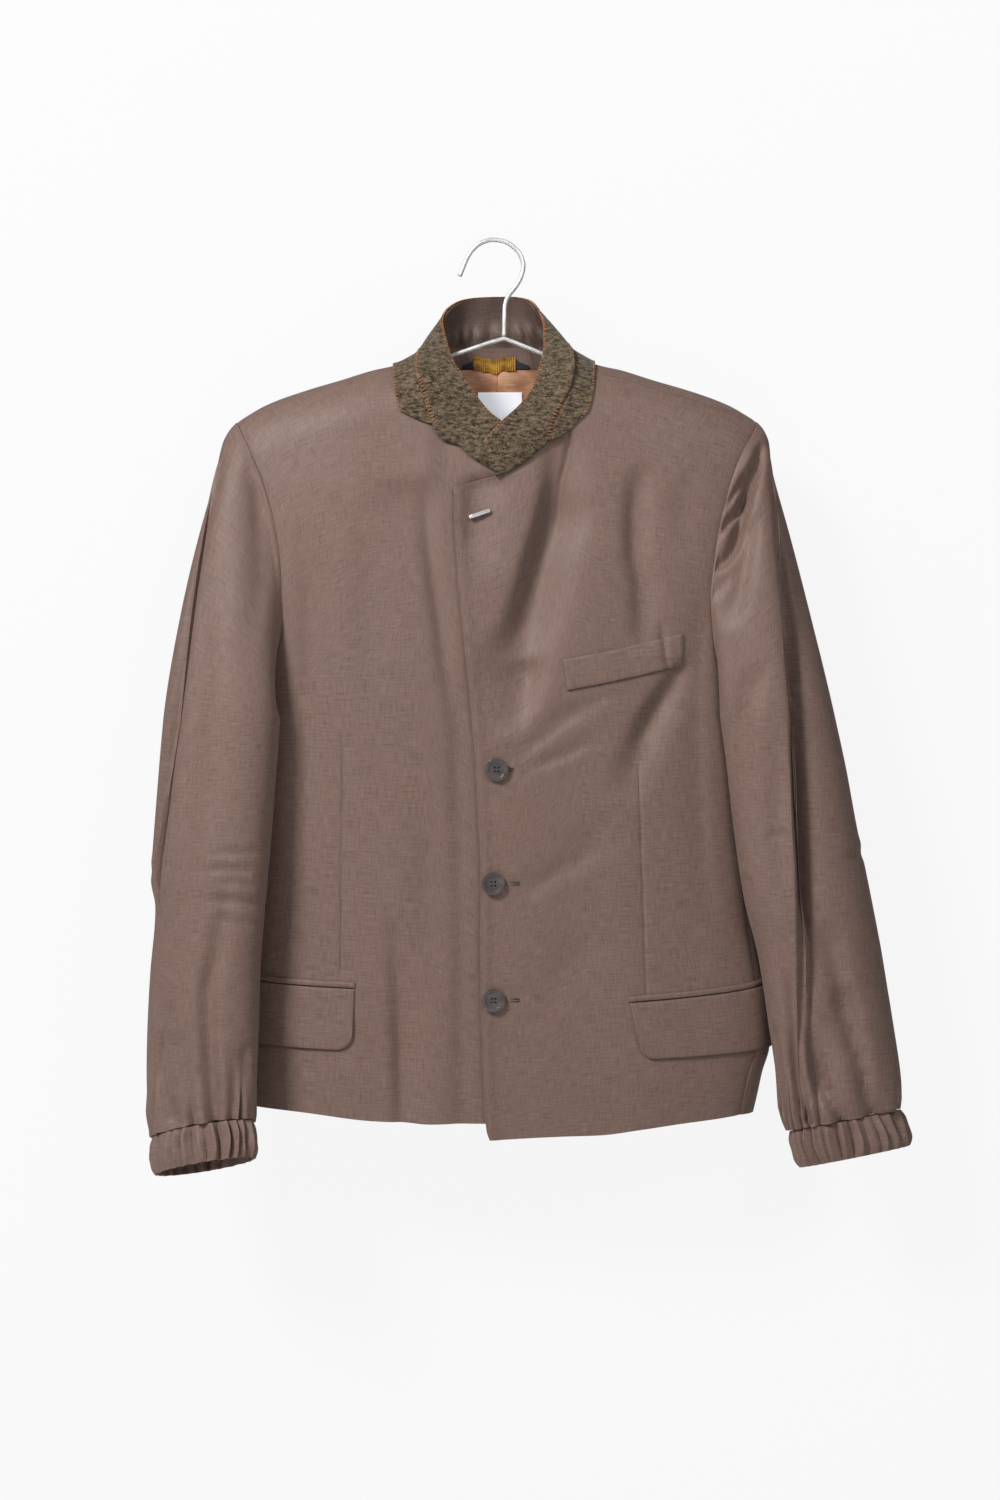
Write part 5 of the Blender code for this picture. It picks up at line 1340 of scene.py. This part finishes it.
# name, node, left, right, top, bottom, columns, rows, how far in, material, slot
INSIDE = (
    ("neck_facing_cloth", "neck_facing", -44, 51, -88.6, -108.4, 60, 12, INSET, None, "worsted_cloth"),
    ("lining_back_satin", "lining_back", -52, 58, -108.8, -192, 80, 50, INSET, copper, "lining"),
    ("neck_label_satin", "neck_label", -13.7, 26.3, -129, -167, 40, 40, NEXT, white, "label_white"),
    ("loop_end_left_tape", "loop_end_left", 20.95, 32.6, -100.5, -108, 24, 8, NEXT, navy, "navy_tape"),
    ("loop_end_right_tape", "loop_end_right", -28.3, -18.35, -100.5, -108, 24, 8, NEXT, navy, "navy_tape"),
    ("hanging_loop_ribbon", "hanging_loop", -18, 20.6, -98.5, -110.5, 90, 16, NEXT, mustard, "loop_ribbon"),
)
for name, node, left, right, top, bottom, columns, rows, inset, material, slot in INSIDE:
    grid, normal = inside_patch(left, right, top, bottom, columns, rows)
    u = np.linspace(0, 1, grid.shape[1])[None, :]
    v = np.linspace(0, 1, grid.shape[0])[:, None]
    if node == "hanging_loop":
        grid[..., 2] += 1.5 * np.sin(u * 9.0 + 0.5) + 0.8 * np.sin(u * 21)
        inset = inset + 0.8 + 0.6 * np.sin(u * 150 + 2 * np.sin(u * 17)) * (0.6 + 0.4 * np.sin(v * 9)) + 0 * v
    elif node.startswith("loop_end"):
        outer = u if node.endswith("left") else 1 - u
        middle = (top + bottom) / 2 - 2.2 * outer
        grid[..., 2] = middle + (grid[..., 2] - (top + bottom) / 2) * (1 - 0.55 * outer)
        inset = inset + 0 * u * v
    elif node == "lining_back":
        fold = 0.9 * np.exp(-(((grid[..., 0] - 4.5) / 0.9) ** 2))
        level = grid[..., 2]
        sag = 0.5 * np.sin(grid[..., 0] / 8.0 + level / 21) + 0.3 * np.sin(level / 7.0)
        inset = inset + 0.8 - fold + sag * 0.6
    elif node == "neck_label":
        rim = np.minimum(np.minimum(u, 1 - u), np.minimum(v, 1 - v)) * 40
        inset = inset + 0.9 - 0.25 * np.exp(-((rim / 1.2) ** 2)) + 0.25 * np.sin(u * 6 + v * 3)
    else:
        inset = inset + 0 * u * v
    points = grid - normal * (inset[..., None] if isinstance(inset, np.ndarray) else inset)
    made = cloth_shell(name, points, normal, 0.7, material or sleeve_cloth)
    if node.startswith("loop_end"):
        tied(made, node)
        continue
    tied(made, node)


# ================================================================ pockets
# A slanting chest welt and two jetted hip pockets with flaps, cut from the same cloth and
# pressed flat; each flap is two layers turned out and has one rounded lower corner.
WELT = ((61.6, -375.6), (165.6, -352.0), (165.0, -379.5), (64.4, -402.1))
JET_LEFT = ((117.9, -669.2), (246, -653.5), (246, -658.0), (118, -673.6))
FLAP_LEFT = ((119.7, -675.0), (246, -659.2), (246, -716.5), (127.0, -724.0))
JET_RIGHT = ((-120.3, -657.2), (-221, -650.5), (-221, -655.0), (-120.5, -661.6))
FLAP_RIGHT = ((-121.1, -663.0), (-221, -656.2), (-221, -710.5), (-122.5, -716.5))
FLAP_CORNER = 15.0


def patch_on_front(corners, panel, columns, rows, corner_radius=0.0):
    """Four-cornered patch on a front; the lower front corner can be rounded off."""
    p = np.asarray(corners, float)
    u = np.linspace(0, 1, columns + 1)[None, :] ** (1.4 if corner_radius else 1.0)
    v = np.linspace(0, 1, rows + 1)[:, None]
    turns = np.clip(turn_of(p[:, 0], p[:, 1]), -86, 86)
    turn = (1 - v) * ((1 - u) * turns[3] + u * turns[2]) + v * ((1 - u) * turns[0] + u * turns[1])
    level = (1 - v) * ((1 - u) * p[3, 1] + u * p[2, 1]) + v * ((1 - u) * p[0, 1] + u * p[1, 1])
    if corner_radius:
        x = x_of(turn, level)
        away = np.abs(x - x[:, :1])
        cut = np.clip(corner_radius - away, 0, corner_radius)
        level = level + (corner_radius - np.sqrt(corner_radius**2 - cut**2)) * (1 - v) ** 2
    path = path_of(ridge_level(x_of(turn, level)) - level)
    surface = front_at(panel)
    return surface(turn, path), normals(surface, turn, path)


# name, node, corners, panel, columns, rows, corner radius, how far the lower edge stands off
POCKETS = (
    ("chest_welt_cloth", "chest_welt", WELT, "left", 80, 26, 0, 0.2),
    ("jet_left_cloth", "jet_left", JET_LEFT, "left", 80, 6, 0, 0.0),
    ("flap_left_cloth", "flap_left", FLAP_LEFT, "left", 110, 50, FLAP_CORNER, 0.9),
    ("jet_right_cloth", "jet_right", JET_RIGHT, "right", 80, 6, 0, 0.0),
    ("flap_right_cloth", "flap_right", FLAP_RIGHT, "right", 110, 50, FLAP_CORNER, 0.9),
)
for name, node, corners, panel, columns, rows, radius, stand_off in POCKETS:
    grid, normal = patch_on_front(corners, panel, columns, rows, radius)
    lower = (1 - np.linspace(0, 1, rows + 1)[:, None]) ** 2
    wander = 0.25 * np.sin(grid[..., 0] / 9 + grid[..., 2] / 13)
    grid = grid + normal * (LIE + WALL + lower * stand_off + wander * (radius > 0))[..., None]
    edges = ("low", "high", "first") if radius else ("low", "high", "first", "last")
    grid = pressed_seam(grid, normal, edges, 0.55, 1.3)
    made = cloth_shell(name, grid, normal, WALL if not radius else WALL + 0.2, body_cloth)
    if node.startswith("jet"):
        jet = tied(made, node)
        continue
    tied(made, node)


# ================================================================ stitching
# Rust-orange overcast stitches hold the felt round every edge of the collar, and a thin
# cord of the same thread runs along the opening.
def thread(name, low, high):
    """Twisted sewing thread: fine turns of two tones with a soft gloss."""
    material, add = painted(name)
    at = add("TexCoord").outputs["Object"]
    twist = add("TexNoise", {"Vector": at, "Scale": 1600.0, "Detail": 2.0}).outputs["Fac"]
    add("Principled BSDF", {
        "Base Color": ramp(add, twist, 0.35, 0.65, (*low, 1), (*high, 1)),
        "Roughness": 0.5,
        "Sheen Weight": 0.2,
        "Normal": bump(add, twist, 0.4, 0.0002),
    })
    return material


def stitches(name, first, last, rise, radius, material, around=5):
    """Short stitches from first to last points, each arched along its rise vector."""
    span = last - first
    way = unit(span)
    across = unit(np.cross(way, unit(rise)))
    up = np.cross(across, way)
    rings = []
    for share, size in ((0.0, 0.45), (0.18, 1.0), (0.5, 1.05), (0.82, 1.0), (1.0, 0.45)):
        centre = first + span * share + rise * (4 * share * (1 - share))
        angle = np.arange(around) * 2 * np.pi / around
        ring = np.cos(angle)[None, :, None] * across[:, None] + np.sin(angle)[None, :, None] * up[:, None]
        rings.append(centre[:, None] + radius * size * ring)
    rings = np.stack(rings, axis=1)
    count, steps = rings.shape[:2]
    base = np.arange(count)[:, None, None] * steps * around
    quad = quads(steps, around, around)[2]
    faces = (quad.reshape(1, -1, 4) + base).reshape(-1, 4).tolist()
    for k in range(count):
        start = k * steps * around
        faces.append([start + a for a in reversed(range(around))])
        faces.append([start + (steps - 1) * around + a for a in range(around)])
    mesh = bpy.data.meshes.new(name)
    mesh.from_pydata((rings.reshape(-1, 3) * MM).tolist(), [], faces)
    outward(mesh)
    mesh.shade_smooth()
    mesh.materials.append(material)
    made = linked(name, mesh)
    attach(made, "root")
    return made


def walk(line, spacing, start=0.5):
    """Places along a line of points, a spacing apart, as fractional indexes."""
    length = run_of(line)
    count = int(length[-1] / spacing)
    at = (np.arange(count) + start) * length[-1] / count
    return np.interp(at, length, np.arange(len(line)))


def pick(line, at):
    """Points of a line at fractional indexes."""
    return np.stack([np.interp(at, np.arange(len(line)), line[:, k]) for k in range(3)], axis=1)


def overcast(name, inner, outer, rise, spacing=3.1, slant=0.2, radius=0.34):
    """Overcast stitches from an inner line to an outer one, slanting a little along them."""
    at = walk(outer, spacing)
    jitter = 0.25 * np.sin(at * 3.7) + 0.15 * np.sin(at * 9.1)
    first = pick(inner, np.clip(at + slant + jitter * 0.3, 0, len(inner) - 1))
    last = pick(outer, at)
    lift = unit(pick(rise, at))
    stitches(name, first, last, lift * 0.4, radius, orange)


orange = thread("orange_thread", (0.34, 0.095, 0.020), (0.66, 0.20, 0.050))
stand_top = stand_grid[-1]
down = unit(stand_grid[-2] - stand_grid[-1])
below = stand_top + down * 1.7
over_edge = stand_top + stand_normal[-1] * 0.05
overcast("stitches_opening", below + stand_normal[-2] * 0.12, over_edge, stand_normal[-1])
foot_out = neck_grid[1] + neck_normal[1] * (NECK_LIFT + 0.1)
index = np.linspace(FELT_OUTER[0][0], FELT_OUTER[-1][0], len(neck_grid[0])) * COLLAR_STATIONS
foot_in = pick(stand_grid[3], index) + pick(stand_normal[3], index) * 0.1
overcast("stitches_roll", foot_in, foot_out, pick(stand_normal[3], index) + neck_normal[1], 3.1)
rim = neck_grid[-1] + neck_normal[-1] * (NECK_LIFT + 0.1)
inwards = unit(neck_grid[-2] - neck_grid[-1])
inside_rim = rim + inwards * 1.8
outside_rim = neck_grid[-1] - inwards * 0.4 + neck_normal[-1] * (LIE + 0.8)
overcast("stitches_felt_edge", inside_rim, outside_rim, neck_normal[-1], 3.3)


def wire(name, line, radius, closed, material, sides=5):
    """A round wire or cord along points of its centre line, in millimetres."""
    data = bpy.data.curves.new(name, "CURVE")
    data.dimensions = "3D"
    data.bevel_depth = radius * MM
    data.bevel_resolution = sides
    data.use_fill_caps = not closed
    spline = data.splines.new("POLY")
    spline.points.add(len(line) - 1)
    for point, spot in zip(spline.points, line):
        point.co = (spot[0] * MM, spot[1] * MM, spot[2] * MM, 1)
    spline.use_cyclic_u = closed
    made = linked(name, data)
    bpy.context.view_layer.objects.active = made
    made.select_set(True)
    bpy.ops.object.convert(target="MESH")
    made = bpy.context.object
    made.select_set(False)
    outward(made.data, 1e-6)
    made.data.shade_smooth()
    made.data.materials.clear()
    made.data.materials.append(material)
    return made


edge_cord = stand_top - stand_normal[-1] * (FELT / 2) - down * 0.05
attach(wire("cord_opening", edge_cord.tolist(), 0.34, False, orange, 2), "root")


# ================================================================ buttons
# Three horn buttons with a raised rim and four holes, sewn through both fronts, and a
# worked buttonhole behind each that runs on past the button's edge.
BUTTONS = ((3.7, -471.1), (0.6, -570.3), (0.9, -672.0))
BUTTON_RADIUS = 10.0
BUTTON_HEIGHT = 3.2
BUTTON_DISH = 1.0
BUTTON_RIM = 2.6
HOLE_RADIUS = 0.9
HOLE_SPREAD = 1.7
SMOOTH_UNDER = 35     # edges of hard pieces sharper than this many degrees stay crisp


def seat_on_left(x, level):
    turn, path = place(x, level)
    return front_at("left")(turn, path)


HOLE_ENDS = (17.6, 22.8, 22.8)     # x where each buttonhole ends
HOLE_STITCHES = 64


def finished(made, node, material, width, segments, angle):
    """Rounds a hard piece's sharp edges, smooths it and ties it to its CAD node."""
    soften = made.modifiers.new("rounded edges", "BEVEL")
    soften.width = width * MM
    soften.segments = segments
    soften.limit_method = "ANGLE"
    soften.angle_limit = math.radians(angle)
    bpy.ops.object.select_all(action="DESELECT")
    made.select_set(True)
    bpy.context.view_layer.objects.active = made
    bpy.ops.object.modifier_apply(modifier=soften.name)
    bpy.ops.object.shade_smooth_by_angle(angle=math.radians(SMOOTH_UNDER))
    made.select_set(False)
    made.data.materials.clear()
    made.data.materials.append(material)
    tied(made, node)


def horn(name):
    """Polished grey-brown horn: long faint streaks in a dark ground, glossy with fine wear."""
    material, add = painted(name)
    streak = stretched(add, add("TexCoord").outputs["Object"], (70, 60, 150), 4.0, turn=(0, 0.5, 0))
    add("Principled BSDF", {
        "Base Color": ramp(add, streak, 0.35, 0.68, (0.060, 0.051, 0.048, 1), (0.105, 0.090, 0.084, 1)),
        "Roughness": add("MapRange", {"Value": streak, "To Min": 0.16, "To Max": 0.34}).outputs["Result"],
        "Coat Weight": 0.9,
        "Coat Roughness": 0.2,
    })
    return material


horn_finish = horn("button_horn_finish")
brown_thread = thread("brown_thread", (0.020, 0.013, 0.010), (0.060, 0.042, 0.034))
for number, (x, level) in enumerate(BUTTONS, 1):
    seat = seat_on_left(x, level) + np.array([0.0, -0.7, 0.0])
    bpy.ops.mesh.primitive_cylinder_add(
        vertices=64, radius=BUTTON_RADIUS * MM, depth=BUTTON_HEIGHT * MM,
        location=tuple((seat + np.array([0, -BUTTON_HEIGHT / 2, 0])) * MM), rotation=(math.pi / 2, 0, 0))
    made = bpy.context.object
    made.name = "button_%d_horn" % number
    made.data.name = made.name
    bpy.ops.object.transform_apply(location=True, rotation=True, scale=True)
    bpy.ops.object.mode_set(mode="EDIT")
    bpy.ops.mesh.select_all(action="DESELECT")
    bpy.ops.object.mode_set(mode="OBJECT")
    front = min(made.data.polygons, key=lambda face: face.center.y)
    front.select = True
    bpy.ops.object.mode_set(mode="EDIT")
    bpy.ops.mesh.select_mode(type="FACE")
    bpy.ops.mesh.inset(thickness=0.45 * MM)
    bpy.ops.mesh.inset(thickness=(BUTTON_RIM - 0.9) * MM)
    bpy.ops.mesh.inset(thickness=0.45 * MM)
    bpy.ops.mesh.inset(thickness=0.9 * MM)
    bpy.ops.transform.translate(value=(0, BUTTON_DISH * MM, 0))
    bpy.ops.mesh.inset(thickness=2.2 * MM)
    bpy.ops.mesh.select_all(action="SELECT")
    bpy.ops.mesh.normals_make_consistent(inside=False)
    bpy.ops.object.mode_set(mode="OBJECT")
    for sx, sz in ((-1, -1), (-1, 1), (1, -1), (1, 1)):
        spot = seat + np.array([sx * HOLE_SPREAD, 0, sz * HOLE_SPREAD])
        bpy.ops.mesh.primitive_cylinder_add(
            vertices=24, radius=HOLE_RADIUS * MM, depth=12 * MM,
            location=tuple(spot * MM), rotation=(math.pi / 2, 0, 0))
        cutter = bpy.context.object
        cut = made.modifiers.new("holes", "BOOLEAN")
        cut.operation = "DIFFERENCE"
        cut.solver = "EXACT"
        cut.object = cutter
        bpy.context.view_layer.objects.active = made
        bpy.ops.object.modifier_apply(modifier=cut.name)
        bpy.data.objects.remove(cutter)
    finished(made, "button_%d" % number, horn_finish, 0.28, 3, 28)
    face = -BUTTON_HEIGHT + BUTTON_DISH
    heights = [sz * HOLE_SPREAD + strand for strand in (-0.25, 0.25) for sz in (-1, 1)]
    first, last = (np.array([seat + np.array([sx * HOLE_SPREAD, face + 0.6, height]) for height in heights])
                   for sx in (-1, 1))
    rise = first * 0 + np.array([0, -0.8, 0])
    stitches("button_thread_%d" % number, first, last, rise, 0.2, brown_thread, 6)
    reach = (HOLE_ENDS[number - 1] - x) / 2
    first = []
    last = []
    for k in range(HOLE_STITCHES):
        angle = 2 * math.pi * k / HOLE_STITCHES
        cos, sin = math.cos(angle), math.sin(angle)
        ex = x + reach + reach * math.copysign(abs(cos) ** 0.45, cos)
        ez = level + 0.55 * math.copysign(abs(sin) ** 0.6, sin)
        out = math.copysign(1.0, sin) if abs(sin) > 0.05 else 0.0
        first.append(seat_on_left(ex, ez) + np.array([0, -0.15, 0]))
        last.append(seat_on_left(ex + 1.3 * 0.35 * cos, ez + 1.3 * out) + np.array([0, -0.1, 0]))
    first = np.array(first)
    rise = first * 0 + np.array([0, -0.3, 0])
    stitches("buttonhole_%d" % number, first, np.array(last), rise, 0.26, brown_thread)


# ================================================================ metal
# A bright straight bar is pinned at the left collar point. The hanger is bent from one
# polished steel wire: a hook with a free end, a short neck, two shoulders and a lower bar.
WIRE = 2.0
HOOK = (
    (-29.8, -30.4), (-26.3, -22), (-23.2, -14.5), (-17.4, -6.2), (-9.4, -0.3), (0, 2), (9.6, 0.6),
    (18.4, -4.6), (24.8, -12.4), (27.2, -21.6), (25.2, -31), (19.6, -41), (14.4, -47.6), (11.6, -53),
    (10.4, -60), (9.9, -84.05),
)
ARMS = (
    (9.9, -86.4), (21, -90.6), (60, -106.4), (92, -117), (150, -134), (188, -144.7), (202, -150),
    (210, -156.2), (213.5, -164), (210.5, -174.5), (200, -179.6), (120, -181), (4, -181.6), (-112, -181),
    (-192, -179.6), (-202.5, -174.5), (-205.5, -164), (-202, -156.2), (-194, -150), (-180, -144.7),
    (-142, -134), (-84, -117), (-52, -107), (-4, -90.4),
)
BAR = ((-20.7, -251.4), (-2.4, -245.3))
BAR_RADIUS = 1.8


def polished(name, tone, rough):
    """Polished steel: small smudges in its colour and gloss."""
    material, add = painted(name)
    at = add("TexCoord").outputs["Object"]
    smudge = add("TexNoise", {"Vector": at, "Scale": 140.0, "Detail": 3.0}).outputs["Fac"]
    dull = (tone * 0.82, tone * 0.81, tone * 0.79, 1)
    gloss = add("MapRange", {"Value": smudge, "To Min": rough * 0.7, "To Max": rough * 1.6})
    add("Principled BSDF", {
        "Base Color": ramp(add, smudge, 0.3, 0.6, dull, (tone, tone * 0.99, tone * 0.97, 1)),
        "Metallic": 0.6,
        "Roughness": gloss.outputs["Result"],
    })
    return material


steel = polished("polished_wire", 0.92, 0.30)
for node, line in (("hanger_hook", along(HOOK, 110)), ("hanger_arms", ARMS)):
    made = wire(node + "_wire", [(x, 0, z) for x, z in line], WIRE, line is ARMS, steel, 6)
    tied(made, node)

ends = [seat_on_left(x, level) + np.array([0, -BAR_RADIUS - 0.6, 0]) for x, level in BAR]
middle = (ends[0] + ends[1]) / 2
span = ends[1] - ends[0]
length = float(np.linalg.norm(span))
turn = Vector(span.tolist()).to_track_quat("Z", "Y").to_euler()
bpy.ops.object.select_all(action="DESELECT")
bpy.ops.mesh.primitive_cylinder_add(
    vertices=40, radius=BAR_RADIUS * MM, depth=length * MM, location=tuple(middle * MM), rotation=turn)
made = bpy.context.object
made.name = "collar_bar_steel"
bpy.ops.object.transform_apply(location=True, rotation=True, scale=True)
finished(made, "collar_bar", polished("polished_bar", 0.86, 0.1), 0.8, 5, 40)


# ================================================================ wall, floor and light
# A plain white wall close behind the jacket and a pale floor below it, in soft daylight
# from the upper left. The wall lets every ray but the camera's through, so the back is lit.
def pale(name, tone, one_sided):
    """Matt white paint. One side can glow a little for the camera and be clear to other rays."""
    material, add = painted(name)
    cloud = add("TexNoise", {"Vector": add("TexCoord").outputs["Object"], "Scale": 3.0}).outputs["Fac"]
    dull = (tone * 0.985, tone * 0.985, tone * 0.99, 1)
    colour = ramp(add, cloud, 0.0, 1.0, dull, (tone, tone, tone, 1))
    paint = add("Principled BSDF", {"Base Color": colour, "Roughness": 0.9}).outputs["BSDF"]
    if one_sided:
        glow = add("Emission", {"Strength": 0.955}).outputs["Emission"]
        soft = add("MixShader", {"Fac": 0.93, 1: paint, 2: glow}).outputs["Shader"]
        clear = add("BsdfTransparent").outputs["BSDF"]
        camera_ray = add("LightPath").outputs["Is Camera Ray"]
        back_face = add("NewGeometry").outputs["Backfacing"]
        seen = maths(add, "SUBTRACT", camera_ray, back_face, use_clamp=True)
        both = add("MixShader", {"Fac": seen, 1: clear, 2: soft}).outputs["Shader"]
        add("Material Output", {"Surface": both})
    return material


WALL_AT = 0.070
FLOOR_AT = -1.25
WALL_CORNERS = ((-4, WALL_AT, FLOOR_AT), (4, WALL_AT, FLOOR_AT), (4, WALL_AT, 2.5), (-4, WALL_AT, 2.5))
FLOOR_CORNERS = ((-6, -6, FLOOR_AT), (6, -6, FLOOR_AT), (6, 6, FLOOR_AT), (-6, 6, FLOOR_AT))
STAGE = (("wall", WALL_CORNERS, 0.90, True), ("floor", FLOOR_CORNERS, 0.80, False))
for name, corners, tone, one_sided in STAGE:
    mesh = bpy.data.meshes.new(name)
    mesh.from_pydata(corners, [], [(0, 1, 2, 3)])
    mesh.materials.append(pale(name + "_paint", tone, one_sided))
    linked(name, mesh)

world = bpy.data.worlds.new("soft_sky")
world.use_nodes = True
world.node_tree.nodes["Background"].inputs["Color"].default_value = (0.93, 0.95, 1.0, 1)
world.node_tree.nodes["Background"].inputs["Strength"].default_value = 0.13
bpy.context.scene.world = world

# name, place, aimed at, size, power
LIGHTS = (
    ("window", (-1.90, -2.15, 1.70), (0.0, 0.0, -0.42), 0.9, 130.0),
    ("skylight", (0.90, -1.60, 0.80), (0.1, 0.0, -0.45), 1.0, 13.0),
)
for name, spot, target, size, power in LIGHTS:
    data = bpy.data.lights.new(name, "AREA")
    data.shape = "SQUARE"
    data.size = size
    data.energy = power
    lamp = linked(name, data)
    lamp.location = spot
    lamp.rotation_euler = (Vector(target) - Vector(spot)).to_track_quat("-Z", "Y").to_euler()

bpy.context.scene.view_settings.view_transform = "Standard"
camera_data = bpy.data.cameras.new("camera")
camera_data.lens = 60.0
camera_data.sensor_width = 36.0
camera_data.sensor_fit = "AUTO"
camera_data.clip_end = 50.0
camera = linked("camera", camera_data)
camera.location = (0.0063, -2.235, -0.4542)
camera.rotation_euler = (math.pi / 2, 0, 0)
bpy.context.scene.camera = camera
